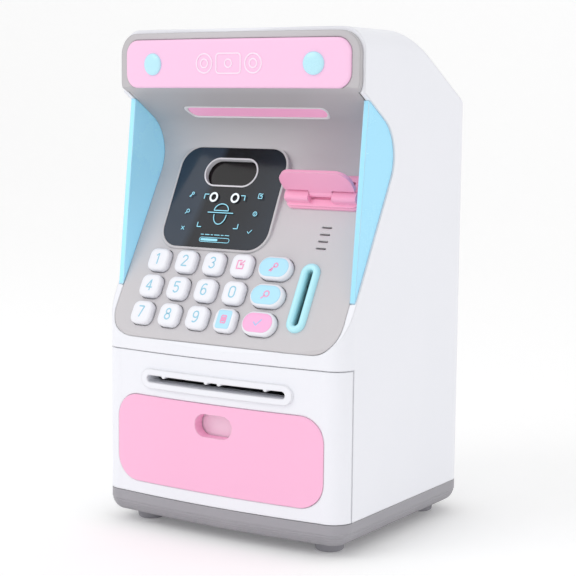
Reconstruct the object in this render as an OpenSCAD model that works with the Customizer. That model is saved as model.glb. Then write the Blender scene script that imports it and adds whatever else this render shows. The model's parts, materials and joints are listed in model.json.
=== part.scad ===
// Toy cash machine savings bank. Millimetres, +Z up, front towards -Y, feet stand on Z = 0.

/* [Body] */
// Width of the casing
body_w = 122; // [120:1:126]
// Height from the table to the flat top
body_h = 215; // [213:1:218]
// Depth from the crowned front to the rear wall
body_d = 112.5; // [112:0.5:114]
// Wall of the moulded shells
wall = 2.4; // [2:0.1:2.6]
// Radius of the upright corners at the front
corner_r = 9; // [8:0.5:9.5]
// Radius of the upright corners at the rear
rear_r = 10.6; // [9:0.1:12]
// Radius of the gentle crown of the front faces
crown_r = 470; // [460:10:600]
// Height of the top edge of the base tray
base_top = 14.5; // [14:0.5:15]
// Height of the seam above the door
door_top = 77.5; // [77:0.5:78]

/* [Console] */
// Slope of the console above the horizontal
console_a = 61; // [60:0.5:62]
// Slope of the overhang under the header
overhang_a = 32; // [30:1:34]
// Radius of the hollow between console and overhang
hollow_r = 18.1; // [17:0.1:19]
// Slope of the flat screen
screen_a = 64; // [63:0.5:65]
// Width of the screen
screen_w = 55; // [53:1:56]
// Height of the screen along its slope
screen_l = 47.2; // [45:0.2:48]

/* [Keys] */
// Side of a square key
key_w = 10.4; // [9.6:0.1:10.8]
// Width of an oval key
wide_key_w = 16.2; // [15:0.1:16.6]
// Distance between the columns
key_pitch_x = 14.55; // [14.2:0.05:14.8]
// Distance between the rows
key_pitch_s = 12.55; // [12.2:0.05:12.8]
// How far a key stands proud of the console
key_h = 3; // [2.4:0.1:3.2]
// Travel of a key
key_travel = 1.2; // [1:0.1:1.2]

/* [Door] */
// Length of the note slot
slot_l = 70.5; // [68:0.5:72]
// Height of the note slot
slot_h = 3.2; // [3:0.1:3.6]
// Width of the coloured door panel
panel_w = 105; // [102:1:106]
// Bottom of the coloured door panel
panel_z0 = 20.3; // [19:0.1:21]
// Top of the coloured door panel
panel_z1 = 58.4; // [57:0.1:59]

/* [Hidden] */
$fn = 64;

// Clearance between moulded pieces and between pins and bores
gap = 0.15;
pin_gap = 0.05;
// Sides of the body
side_x = body_w / 2;
rear_y = 56.85;
front_y = rear_y - body_d;
edge_y = -43.95;
base_z = 5;
// Where the roof starts to fall towards the rear, and its fall for each millimetre of depth
roof_y = -4;
roof_slope = 0.55;
base_screw_x = 50;
cover_screws_x = [-47.5, 47.5];
cover_screws_z = [25, 169];
base_screw_y = [-20, 30];
shelf_t = 2.4;
// Driving line of the console: one point on it, and the vertex where it meets the overhang
console_y = -41.35;
console_z = 107.1;
hollow_y = -7.1;
hollow = [hollow_y, console_z + (hollow_y - console_y) * tan(console_a)];
// Header
header_y = -45.15;
header_half = 60;
header_z0 = 188;
header_z1 = 213.4;
header_r = 9;
// Height above which the front faces follow the header's crown
crown_split = header_z0 - 12;
plate_half = 56.4;
plate_z0 = 190.2;
plate_z1 = 210.6;
plate_r = 6.2;
plate_proud = 1.1;
plate_back = 1.1;
stud_x = 40.4;
stud_z = 200.2;
stud_r = 4.6;
// Fascia between the side walls
fascia_half = 57.8;
fascia_z0 = 83.6;
fascia_r = 12;
// Screen
screen_x = -17.6;
screen_y = -33.8;
screen_z = 122;
screen_r = 9;
screen_t = 1.7;
pad_rim = 1.2;
sensor_s = 35.6;
sensor_w = 28;
sensor_l = 13.7;
sensor_rim = 0.7;
// Keys: first column, bottom row, wide column
key_x0 = -41.4;
key_s0 = -16.1;
wide_x = 19.1;
key_r = 3.2;
flange_t = 1.1;
// Card slot
card_x = 35.8;
card_s = -2.6;
card_slot_l = 24.5;
card_slot_w = 2.6;
// Coin inlet, its hinge line and the flap's slope above the console when open
coin_x = 32.5;
coin_half = 18.2;
coin_s0 = 37.6;
coin_s1 = 53.4;
flap_s = 43.4;
flap_h = 3.7;
flap_open = 74;
flap_t = 1.6;
flap_l = 13.5;
flap_half = 17.4;
barrel_half = 5.6;
flap_pin_r = 0.6;
chute_y = 2;
// Door hinge
hinge = [-58.7, -46.3];
hinge_pin_r = 0.8;
barrel_r = 2.2;
// Note slot and finger pull
slot_z = 66.2;
panel_r = 11;
pull_z = 49.2;
pull_w = 19;
pull_l = 9.8;
pull_d = 5;
// Latch
latch = [53, -44.5];
bolt_w = 4;
// Note feed: axes of the drive roller, the pinch roller and the motor, in Y and Z
drive = [-38, 61.3];
pinch = [-38, 71.1];
motor = [-14, 67];
drive_r = 5;
pinch_r = 4.5;
shaft_r = 1.5;
tooth_m = 0.8;
pinion_n = 12;
idler_n = 20;
roller_n = 18;
mesh_slack = 0.15;
gear_x = 39;
gear_t = 4;
// Battery box
cell_r = 7.1;
cell_l = 49.5;
box_z = 132;
cover_screw_z = 25.4;

// ---------- plane geometry ----------
function unit(v) = v / norm(v);
function turn(v) = atan2(v[1], v[0]);
function wrap(a) = a > 180 ? a - 360 : (a < -180 ? a + 360 : a);
// Arc of radius r that rounds the corner b between a and c
function corner(a, b, c, r, n) =
    let (u = unit(a - b), v = unit(c - b), half = acos(u * v) / 2,
         mid = b + unit(u + v) * r / sin(half), d = r / tan(half),
         a0 = turn(b + u * d - mid), sweep = wrap(turn(b + v * d - mid) - a0))
    [for (i = [0:n]) mid + r * [cos(a0 + sweep * i / n), sin(a0 + sweep * i / n)]];
// Outline whose points are [x, y, radius]
function rounded(p) = [for (i = [0:len(p) - 1])
    let (b = [p[i][0], p[i][1]], q = p[(i + len(p) - 1) % len(p)], s = p[(i + 1) % len(p)])
    each (p[i][2] > 0
        ? corner([q[0], q[1]], b, [s[0], s[1]], p[i][2], max(4, ceil(p[i][2])))
        : [b])];
// Height of the console line at y, and of the overhang line at y
function console_at(y) = console_z + (y - console_y) * tan(console_a);
function overhang_at(y) = hollow[1] + (hollow[0] - y) * tan(overhang_a);
function console_y_at(z) = console_y + (z - console_z) / tan(console_a);
// A point of the console's own frame, as [y, z]
function console_pt(s, h) = [console_y + s * cos(console_a) - h * sin(console_a),
    console_z + s * sin(console_a) + h * cos(console_a)];
function crown_drop(x) = x * x / (2 * crown_r);

// ---------- frames ----------
module along_x(x0, x1) translate([x0, 0, 0]) rotate([90, 0, 90]) linear_extrude(x1 - x0) children();
module along_y(y0, y1) translate([0, y1, 0]) rotate([90, 0, 0]) linear_extrude(y1 - y0) children();
module block(x0, x1, y0, y1, z0, z1) translate([x0, y0, z0]) cube([x1 - x0, y1 - y0, z1 - z0]);
module rod_x(x0, x1, yz, r) translate([x0, yz[0], yz[1]]) rotate([0, 90, 0]) cylinder(r = r, h = x1 - x0);
// Local X along the body, Y up the slope, Z outwards
module on_console(x, s, h = 0)
    translate([x, console_pt(s, h)[0], console_pt(s, h)[1]]) rotate([console_a, 0, 0]) children();
module on_screen(x, s, h = 0)
    translate([screen_x, screen_y, screen_z]) rotate([screen_a, 0, 0]) translate([x, s, h]) children();
module on_overhang(x, t, h = 0)
    translate([0, hollow[0], hollow[1]]) rotate([180 - overhang_a, 0, 0]) translate([x, t, h]) children();

// ---------- flat shapes ----------
module rounded_box(w, l, r) {
    square([w - 2 * r, l], center = true);
    square([w, l - 2 * r], center = true);
    for (i = [-1, 1], j = [-1, 1])
        translate([i * (w / 2 - r), j * (l / 2 - r)]) circle(r = r);
}
module pill(w, l) {
    square([w - l, l], center = true);
    for (i = [-1, 1])
        translate([i * (w - l) / 2, 0]) circle(d = l);
}
module tall_pill(w, l) rotate(90) pill(l, w);
// Plan of the body, t inside its outer face, with its front crowned at y
module plan(t, y) {
    corner_x = side_x - corner_r;
    rear_x = side_x - rear_r;
    intersection() {
        translate([-corner_x, y - 2]) square([2 * corner_x, edge_y + 3 - y]);
        translate([0, y + crown_r]) circle(r = crown_r - t, $fn = 720);
    }
    translate([-side_x + t, edge_y]) square([body_w - 2 * t, rear_y - rear_r - edge_y]);
    translate([-rear_x, edge_y]) square([2 * rear_x, rear_y - t - edge_y]);
    for (i = [-1, 1]) {
        translate([i * corner_x, edge_y]) circle(r = corner_r - t);
        translate([i * rear_x, rear_y - rear_r]) circle(r = rear_r - t);
    }
}
// Outline of the header in X and Z; its sides run down into the fascia's
module header_outline(t) {
    x = header_half - t;
    foot_x = fascia_half - t;
    polygon(rounded([[-x, header_z1 - t, header_r - t], [x, header_z1 - t, header_r - t], [x, 192, 8],
        [foot_x, 185, 4], [-foot_x, 185, 4], [-x, 192, 8]]));
}
module plate_outline(t) {
    translate([0, (plate_z0 + plate_z1) / 2])
        rounded_box(2 * (plate_half - t), plate_z1 - plate_z0 - 2 * t, plate_r - t);
}
// Outline of the fascia below the header
module fascia_outline(t) {
    x = fascia_half - t;
    polygon(rounded([[-x, fascia_z0 + t, fascia_r], [x, fascia_z0 + t, fascia_r], [x, header_z0 + 2, 0],
        [-x, header_z0 + 2, 0]]));
}
// Side section of the body; the console, hollow and overhang are its front
module side_section(header) {
    polygon(rounded([
        [edge_y, base_top + gap, 0],
        [edge_y, door_top + gap, 0],
        [console_y_at(door_top + gap), door_top + gap, 0],
        [hollow[0], hollow[1], hollow_r],
        [header, overhang_at(header), header_r],
        [header, body_h, 1.5],
        [roof_y, body_h, 12],
        [rear_y, body_h - (rear_y - roof_y) * roof_slope, 5],
        [rear_y, base_top + gap, 0]]));
}
// Front faces follow the crown: the header's above, the door's below
module crown_limit(t) {
    translate([0, header_y + crown_r, crown_split])
        cylinder(r = crown_r - t, h = body_h - crown_split, $fn = 720);
    translate([0, front_y + crown_r, 0]) cylinder(r = crown_r - t, h = crown_split, $fn = 720);
}
// Thin crowned slice of the front, from y0 back to y1 at the middle
module crowned(y0, y1, z0, z1) {
    difference() {
        translate([0, y0 + crown_r, z0]) cylinder(r = crown_r, h = z1 - z0, $fn = 720);
        translate([0, y1 + crown_r, z0 - 1]) cylinder(r = crown_r, h = z1 - z0 + 2, $fn = 720);
    }
}

// ---------- casing ----------
module casing_solid() {
    top_r = 10;
    header_back = header_y + wall + gap;
    intersection() {
        along_x(-side_x, side_x) side_section(header_back);
        linear_extrude(body_h) plan(0, front_y);
        union() {
            block(-side_x, side_x, front_y, rear_y, 0, crown_split);
            translate([0, header_back + crown_r, crown_split])
                cylinder(r = crown_r, h = body_h - crown_split, $fn = 720);
        }
        along_y(front_y - 4, rear_y + 1)
            polygon(rounded([[-side_x, 0, 0], [side_x, 0, 0], [side_x, body_h, top_r],
                [-side_x, body_h, top_r]]));
    }
}
module main_casing() {
    in_x = side_x - wall;
    in_y = rear_y - wall;
    lip = 4;
    color("ghostwhite") difference() {
        union() {
            difference() {
                casing_solid();
                // electronics space above the shelf
                intersection() {
                    along_x(-in_x, in_x) polygon([
                        [console_y_at(80) + 2.8, door_top + gap + shelf_t],
                        [console_y_at(104) + 2.8, 104], [-60, 104], [-60, body_h - wall],
                        [roof_y - 1, body_h - wall],
                        [in_y, body_h - wall - (in_y - roof_y + 1) * roof_slope],
                        [in_y, door_top + gap + shelf_t]]);
                    linear_extrude(body_h) plan(wall, front_y);
                    along_y(front_y - 4, rear_y) polygon(rounded([[-in_x, 0, 0], [in_x, 0, 0],
                        [in_x, body_h - wall, 8], [-in_x, body_h - wall, 8]]));
                }
                // cash compartment under the shelf
                linear_extrude(door_top + gap) intersection() {
                    plan(wall, front_y);
                    translate([-in_x, edge_y - 1]) square([2 * in_x, 110]);
                }
                // opening for the fascia
                along_y(front_y - 4, -20) fascia_outline(-gap);
                along_y(front_y - 4, -20) header_outline(1);
                // rebate for the foot of the header's rim
                intersection() {
                    along_y(front_y - 4, -38.7) header_outline(-gap);
                    block(-70, 70, -70, 0, 180, 198);
                }
                // clearance for the swinging edge of the door
                translate([-side_x - 1, edge_y - 1, 0]) cube([wall + 2, 1.25, door_top + gap]);
                // opening for the rear cover
                block(-50, 50, in_y - 1, rear_y + 1, 22, 172);
            }
            // ledge behind the rear cover
            difference() {
                block(-54, 54, in_y - 2, in_y, 18, 176);
                block(-50 + lip, 50 - lip, in_y - 3, in_y + 1, 22 + lip, 172 - lip);
            }
            for (x = cover_screws_x, z = cover_screws_z)
                block(x - 3, x + 3, in_y - 7, in_y - 1, z - 3, z + 3);
            // bosses of the base screws
            for (i = [-1, 1], y = base_screw_y) {
                translate([i * 52.5 - 5.9, y - 3.4, base_z + wall + gap]) cube([11.8, 6.8, 16]);
                translate([i * 58.2 - 1, y - 3.4, base_top + 2 * gap]) cube([2, 6.8, 8.6]);
            }
            // hinge boss above the door
            intersection() {
                translate([hinge[0], hinge[1], door_top + gap]) cylinder(r = 3.4, h = 5);
                casing_solid();
            }
        }
        translate([hinge[0], hinge[1], door_top - 1]) cylinder(r = hinge_pin_r + pin_gap, h = 5.4);
        // holes in the shelf for the latch bolt, the coins and the feed motor's leads
        block(latch[0] - 2.25, latch[0] + 2.25, latch[1] - 2.25, latch[1] + 2.25, 76, 82);
        block(coin_x - 15.5, coin_x + 15.5, chute_y - 4.1, chute_y + 4.1, 76, 82);
        translate([-20, 20, 76]) cylinder(r = 3, h = 6);
        for (i = [-1, 1], y = base_screw_y)
            translate([i * base_screw_x, y, base_z]) cylinder(r = 1.2, h = 9);
        // screw holes of the rear cover
        for (x = cover_screws_x, z = cover_screws_z)
            translate([x, in_y - 6, z]) rotate([-90, 0, 0]) cylinder(r = 1.2, h = 7);
    }
}
module rear_cover() {
    in_y = rear_y - wall;
    color("ghostwhite") difference() {
        block(-50 + gap, 50 - gap, in_y, rear_y, 22 + gap, 172 - gap);
        block(-31.2, 31.2, in_y - 3, rear_y + 1, box_z - 26.2, box_z + 29.2);
        for (x = cover_screws_x, z = cover_screws_z)
            translate([x, in_y - 1, z]) rotate([-90, 0, 0]) {
                cylinder(r = 1.5, h = 6);
                translate([0, 0, 2.2]) cylinder(r = 2.9, h = 4);
            }
        // finger dimple and slot of the power switch
        block(37, 47, in_y + 1, rear_y + 1, 124, 140);
        block(39.5, 44.5, in_y - 1, rear_y, 127, 137);
        // rows of vents
        for (i = [0:5])
            block(-16, 16, in_y - 1, rear_y + 1, 56 + 5 * i, 57.8 + 5 * i);
    }
}

// ---------- base ----------
// The tray's bottom edge steps inwards; each step is [height above the tray's bottom, inset]
base_steps = [[0, 4.2], [0.3, 3.3], [0.8, 2.5], [1.4, 1.8], [2.2, 1.2], [3.1, 0.7], [4.1, 0.3], [5.3, 0]];
module base_solid() {
    for (i = [0:len(base_steps) - 1])
        translate([0, 0, base_z + base_steps[i][0]])
            linear_extrude((i + 1 < len(base_steps) ? base_steps[i + 1][0] : base_top - base_z)
                - base_steps[i][0]) plan(base_steps[i][1], front_y);
}
module base_tray() {
    color("silver") difference() {
        union() {
            difference() {
                base_solid();
                translate([0, 0, base_z + wall]) linear_extrude(base_top) plan(wall, front_y);
            }
            intersection() {
                translate([hinge[0], hinge[1], base_z + 1]) cylinder(r = 4, h = base_top - base_z - 1);
                base_solid();
            }
        }
        translate([hinge[0], hinge[1], base_top - 5]) cylinder(r = hinge_pin_r + pin_gap, h = 6);
        for (i = [-1, 1], y = foot_y())
            translate([i * 46.5, y, base_z - 1]) cylinder(r = 2, h = 4);
        for (i = [-1, 1], y = base_screw_y)
            translate([i * base_screw_x, y, base_z - 1]) {
                cylinder(r = 1.3, h = 5);
                cylinder(r = 2.7, h = 2.4);
            }
    }
}
function foot_y() = [-37.2, 42];
module feet() {
    color("gray") for (i = [-1, 1], y = foot_y())
        translate([i * 46.5, y, 0]) rotate_extrude() polygon(rounded([[0, 0, 0], [5.9, 0, 1.2], [6.5, base_z, 0],
            [2, base_z, 0], [2, base_z + 2.2, 0.4], [0, base_z + 2.2, 0]]));
}

// ---------- fascia ----------
module fascia_section(t) {
    dy = t / sin(console_a);
    dz = t / cos(overhang_a);
    y1 = -6 + t;
    z0 = fascia_z0 - 1 - t;
    z1 = header_z1 + 1 + t;
    polygon(rounded([
        [console_y_at(z0) + dy, z0, 0],
        [hollow[0] + dy * 1.05, hollow[1] + dz * 0.52, hollow_r + t],
        [header_y - 1, overhang_at(header_y - 1) + dz, 8 - t],
        [header_y - 1, z1, 0],
        [y1, z1, 0],
        [y1, z0, 0]]));
}
module fascia_skin() {
    difference() {
        intersection() {
            along_x(-header_half, header_half) fascia_section(0);
            crown_limit(0);
        }
        intersection() {
            along_x(-header_half - 1, header_half + 1) fascia_section(wall);
            crown_limit(wall);
        }
    }
}
module fascia() {
    color("thistle") difference() {
        union() {
            intersection() {
                fascia_skin();
                union() {
                    along_y(-70, 5) fascia_outline(0);
                    along_y(-70, -38.85) header_outline(0);
                }
            }
            // flat pad that carries the screen
            intersection() {
                on_screen(0, screen_l / 2, -4.6) linear_extrude(4.6)
                    rounded_box(screen_w + 2 * pad_rim, screen_l + 2 * pad_rim, screen_r + pad_rim);
                block(-60, 60, -40, 5, 100, 175);
            }
        }
        // pocket and window of the screen
        on_screen(0, screen_l / 2, -screen_t - gap) linear_extrude(9)
            rounded_box(screen_w + 0.2, screen_l + 0.2, screen_r + 0.1);
        on_screen(0, sensor_s, -9) linear_extrude(9) pill(sensor_w + 0.4, sensor_l + 0.4);
        on_screen(0, 13, -9) linear_extrude(9) rounded_box(40, 20, 3);
        // recess of the header plate and seats of the studs
        intersection() {
            along_y(-70, 0) plate_outline(-gap);
            crowned(header_y - 6, header_y + plate_back, plate_z0 - 2, plate_z1 + 2);
        }
        for (i = [-1, 1])
            translate([i * stud_x, -30, stud_z]) rotate([90, 0, 0]) cylinder(r = 1.6, h = 20);
        // window of the lamp
        on_overhang(0, 21.2, -1.5) linear_extrude(4) lamp_outline(-0.1);
        on_overhang(0, 21.2, -6) linear_extrude(8) lamp_outline(1.6);
        // keys
        for (c = [0:3], r = [0:2]) {
            on_console(key_x(c), key_row(r), -6) linear_extrude(12)
                rounded_box(key_w + 0.5, key_w + 0.5, key_r + 0.25);
            on_console(key_x(c), key_row(r), -8) linear_extrude(8 - wall)
                rounded_box(key_w + 2, key_w + 2, key_r + 0.2);
        }
        for (r = [0:2]) {
            on_console(wide_x, key_row(r), -6) linear_extrude(12) pill(wide_key_w + 0.5, key_w + 0.5);
            on_console(wide_x, key_row(r), -8) linear_extrude(8 - wall) pill(wide_key_w + 2, key_w + 2);
        }
        // card slot, coin mouth and speaker vents
        on_console(card_x, card_s, -6) linear_extrude(12) tall_pill(5.4, 27.4);
        on_console(coin_x, 48, -6) linear_extrude(12) rounded_box(29, 5.4, 1);
        for (i = [0:3])
            on_console(37.1, 20 + 3.2 * i, -6) linear_extrude(12) pill(4.9, 0.75);
    }
}
function key_x(c) = key_x0 + key_pitch_x * c;
function key_row(r) = key_s0 + key_pitch_s * r;

// Plate on the header, with two outlined coins and an outlined note embossed on it
module header_plate() {
    color("pink") difference() {
        union() {
            intersection() {
                along_y(-70, 0) plate_outline(0);
                crowned(header_y - plate_proud, header_y + plate_back, plate_z0 - 1, plate_z1 + 1);
            }
            intersection() {
                along_y(-70, -30) translate([0, stud_z]) emblem();
                crowned(header_y - plate_proud - 0.5, header_y, plate_z0, plate_z1);
            }
            for (i = [-1, 1])
                intersection() {
                    along_y(-70, -30) translate([i * stud_x, stud_z]) circle(r = stud_r + 0.8);
                    crowned(header_y - plate_proud - 0.3, header_y, plate_z0, plate_z1);
                }
        }
        for (i = [-1, 1])
            translate([i * stud_x, -30, stud_z]) rotate([90, 0, 0]) cylinder(r = stud_r + 0.1, h = 30);
    }
}
module ring(r0, r1) difference() {
    circle(r = r1);
    circle(r = r0);
}
module emblem() {
    for (i = [-1, 1])
        translate([12.3 * i, 0]) {
            ring(3.4, 4.2);
            ring(1.5, 2.1);
        }
    difference() {
        rounded_box(12.4, 8.4, 1.4);
        rounded_box(10.8, 6.8, 0.7);
    }
    ring(1.3, 2);
}
module stud(i) {
    y = header_y - plate_proud + crown_drop(stud_x);
    color("paleturquoise") translate([i * stud_x, y, stud_z]) rotate([90, 0, 0]) union() {
        translate([0, 0, -1.7]) cylinder(r = stud_r, h = 1.8);
        translate([0, 0, -6.6]) cylinder(r = 1.5, h = 5.2);
        intersection() {
            translate([0, 0, 1.5 - 8]) sphere(r = 8);
            cylinder(r = stud_r, h = 3);
        }
    }
}
module header_stud_left() stud(-1);
module header_stud_right() stud(1);
module lamp_outline(t) {
    a = 36.6 - t;
    b = 34.2 - t;
    h = 3.7 - t;
    polygon(rounded([[-a, h, 0.9], [-b, -h, 1.9], [b, -h, 1.9], [a, h, 0.9]]));
}
module lamp_lens() {
    color("hotpink") on_overhang(0, 21.2, -1.4) union() {
        linear_extrude(1.1) lamp_outline(0);
        translate([0, 0, -1]) linear_extrude(1) lamp_outline(1.8);
    }
}
// Side window: fills the opening between the hollow and a straight front edge
module side_window(i) {
    top = [-34.1, overhang_at(-34.1) - 0.1];
    tip = [console_y_at(104.2) - 0.15, 104.2];
    x0 = i > 0 ? 57.95 : -60.3;
    x1 = i > 0 ? 58.5 : -58.5;
    color("lightblue") union() {
        along_x(x0, x0 + 2.35) polygon(rounded([[top[0], top[1], 0], [tip[0], tip[1], 0],
            [hollow[0] - 0.3, hollow[1], hollow_r]]));
        along_x(min(x1, i * 57.95), max(x1, i * 57.95)) polygon(rounded([[top[0], top[1], 0],
            [tip[0], tip[1], 0], [hollow[0] + 3.4, hollow[1] + 0.8, hollow_r]]));
    }
}
module side_window_left() side_window(-1);
module side_window_right() side_window(1);

// ---------- screen ----------
module screen_panel() {
    color("dimgray") on_screen(0, 0, -screen_t) linear_extrude(screen_t) difference() {
        translate([0, screen_l / 2]) rounded_box(screen_w, screen_l, screen_r);
        translate([0, sensor_s]) pill(sensor_w + 0.2, sensor_l + 0.2);
    }
}
module sensor_bezel() {
    color("lightgray") on_screen(0, sensor_s, -3.4) difference() {
        linear_extrude(3.5) pill(sensor_w, sensor_l);
        translate([0, 0, -1]) linear_extrude(6) pill(sensor_w - 2 * sensor_rim, sensor_l - 2 * sensor_rim);
    }
}
module sensor_lens() {
    color("black") on_screen(0, sensor_s, -3.4) linear_extrude(1.1)
        pill(sensor_w - 2 * sensor_rim, sensor_l - 2 * sensor_rim);
}
module display_board() {
    color("seagreen") on_screen(0, screen_l / 2, -8.2) union() {
        linear_extrude(1.4) rounded_box(48, 40, 2);
        translate([0, 11.6, 1.4]) linear_extrude(1.6) square([20, 8], center = true);
        translate([0, -10, 1.4]) linear_extrude(1.4) square([36, 16], center = true);
    }
}

// ---------- coin inlet ----------
module coin_frame() {
    cheek_s = 39.5;
    cheek_l = 5.2;
    color("hotpink") difference() {
        union() {
            on_console(coin_x, (coin_s0 + coin_s1) / 2, 0) {
                linear_extrude(1.2) rounded_box(2 * coin_half, coin_s1 - coin_s0, 3.4);
                linear_extrude(2) rounded_box(2 * coin_half - 1.2, coin_s1 - coin_s0 - 1.2, 2.8);
            }
            on_console(coin_x, 48, -5) linear_extrude(6) rounded_box(28.8, 5.2, 0.9);
            // cheeks that hold the flap's pin
            for (i = [-1, 1])
                on_console(coin_x, cheek_s, 1) along_x(i > 0 ? barrel_half + 0.2 : -coin_half + 0.8,
                    i > 0 ? coin_half - 0.8 : -barrel_half - 0.2)
                    polygon(rounded([[0, 0, 0], [cheek_l, 0, 0], [cheek_l, 4.3, 1.2], [0.4, 4.3, 1.6]]));
        }
        on_console(coin_x, 48, -7) linear_extrude(12) rounded_box(26.8, 4.2, 0.6);
        translate([0, flap_axis()[0], flap_axis()[1]]) rotate([0, 90, 0])
            translate([0, 0, coin_x - 9.6]) cylinder(r = flap_pin_r, h = 19.2);
        on_console(coin_x, flap_s, 1.6) linear_extrude(6) square([2 * barrel_half + 0.4, 3.7], center = true);
    }
}
function flap_axis() = console_pt(flap_s, flap_h);
module coin_flap() {
    color("hotpink") translate([coin_x, flap_axis()[0], flap_axis()[1]])
        rotate([console_a + flap_open, 0, 0]) difference() {
            union() {
                translate([0, 0, -flap_t / 2]) linear_extrude(flap_t) union() {
                    polygon(rounded([[-flap_half, 2.6, 1], [flap_half, 2.6, 1], [flap_half, flap_l, 6.4],
                        [-flap_half, flap_l, 6.4]]));
                    translate([-barrel_half, 0]) square([2 * barrel_half, 4]);
                }
                translate([-barrel_half, 0, 0]) rotate([0, 90, 0]) cylinder(r = 1.5, h = 2 * barrel_half);
            }
            translate([-20, 0, 0]) rotate([0, 90, 0]) cylinder(r = flap_pin_r + pin_gap, h = 40);
        }
}
module coin_flap_pin() {
    color("silver") rod_x(coin_x - 9.5, coin_x + 9.5, flap_axis(), flap_pin_r);
}
module coin_chute() {
    back = -wall - 0.3;
    color("gainsboro") difference() {
        along_x(coin_x - 16.6, coin_x + 16.6) polygon([console_pt(52.6, back), console_pt(43.2, back),
            [chute_y - 5.2, 128], [chute_y - 5.2, 80.2], [chute_y + 5.2, 80.2], [chute_y + 5.2, 138],
            console_pt(52.6, -9)]);
        along_x(coin_x - 15.4, coin_x + 15.4) polygon([console_pt(51.3, 0), console_pt(44.4, 0),
            console_pt(44.4, back), [chute_y - 4, 128.4], [chute_y - 4, 70], [chute_y + 4, 70],
            [chute_y + 4, 137.2], console_pt(51.3, -9)]);
    }
}

// ---------- card slot ----------
module card_frame() {
    color("skyblue") difference() {
        union() {
            on_console(card_x, card_s, 0) linear_extrude(1.1) tall_pill(8.8, 31);
            on_console(card_x, card_s, 0) linear_extrude(1.7) tall_pill(7.6, 29.8);
            on_console(card_x, card_s, -3.6) linear_extrude(4) tall_pill(5.2, 27.2);
        }
        on_console(card_x, card_s, -5) linear_extrude(8) tall_pill(card_slot_w, card_slot_l);
    }
}
module card_guide() {
    color("gainsboro") on_console(card_x, card_s, -20) difference() {
        linear_extrude(16.2) rounded_box(6.4, 28, 1);
        translate([0, 0, 1.2]) linear_extrude(20) rounded_box(3.2, 25, 0.6);
    }
}

// ---------- keys ----------
module square_key(c, r) {
    color("white") on_console(key_x(c), key_row(r), 0) union() {
        translate([0, 0, -3]) linear_extrude(key_h + 2.4) rounded_box(key_w, key_w, key_r);
        translate([0, 0, key_h - 0.6]) linear_extrude(0.6) rounded_box(key_w - 1.2, key_w - 1.2, key_r - 0.5);
        translate([0, 0, -wall - gap - flange_t]) linear_extrude(flange_t)
            rounded_box(key_w + 1.6, key_w + 1.6, key_r);
    }
}
module oval_key(r) {
    color("white") on_console(wide_x, key_row(r), 0) union() {
        translate([0, 0, -3]) linear_extrude(key_h + 2.4) pill(wide_key_w, key_w);
        translate([0, 0, key_h - 0.6]) linear_extrude(0.6) pill(wide_key_w - 1.2, key_w - 1.2);
        translate([0, 0, -wall - gap - flange_t]) linear_extrude(flange_t)
            pill(wide_key_w + 1.6, key_w + 1.6);
    }
}
module key_1() square_key(0, 2);
module key_2() square_key(1, 2);
module key_3() square_key(2, 2);
module key_save() square_key(3, 2);
module key_4() square_key(0, 1);
module key_5() square_key(1, 1);
module key_6() square_key(2, 1);
module key_0() square_key(3, 1);
module key_7() square_key(0, 0);
module key_8() square_key(1, 0);
module key_9() square_key(2, 0);
module key_menu() square_key(3, 0);
module key_unlock() oval_key(2);
module key_search() oval_key(1);
module key_confirm() oval_key(0);
module key_membrane() {
    color("whitesmoke") union() {
        on_console(-9.2, key_row(1), -7.4) linear_extrude(0.8) rounded_box(78, 38, 3);
        for (c = [0:3], r = [0:2])
            on_console(key_x(c), key_row(r), -6.7) cylinder(r = 3, h = 1.7);
        for (r = [0:2])
            on_console(wide_x, key_row(r), -6.7) cylinder(r = 3, h = 1.7);
    }
}
module key_board() {
    color("seagreen") union() {
        on_console(-9.2, key_row(1), -9) linear_extrude(1.6) rounded_box(80, 40, 1.5);
        on_console(-30, key_row(1), -11) linear_extrude(2) square([10, 10], center = true);
    }
}
module main_board() {
    color("seagreen") union() {
        block(-48, 8, 30, 31.6, 84, 156);
        block(-36, -20, 28.4, 30, 112, 128);
        block(-8, 2, 28.4, 30, 100, 106);
        for (z = [94, 104])
            translate([-34, 30, z]) rotate([90, 0, 0]) cylinder(r = 3.5, h = 8);
        block(-44, -14, 24, 30, 142, 150);
        // standoffs on the shelf
        for (x = [-42, 2])
            block(x - 3, x + 3, 31.6, 38, door_top + gap + shelf_t, 92);
    }
}
module speaker() {
    color("dimgray") on_console(37.1, 24.8, -10) union() {
        cylinder(r = 6.5, h = 3);
        translate([0, 0, 3]) cylinder(r1 = 7, r2 = 11.5, h = 3);
        translate([0, 0, 6]) cylinder(r = 11.5, h = 1.5);
    }
}

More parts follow.
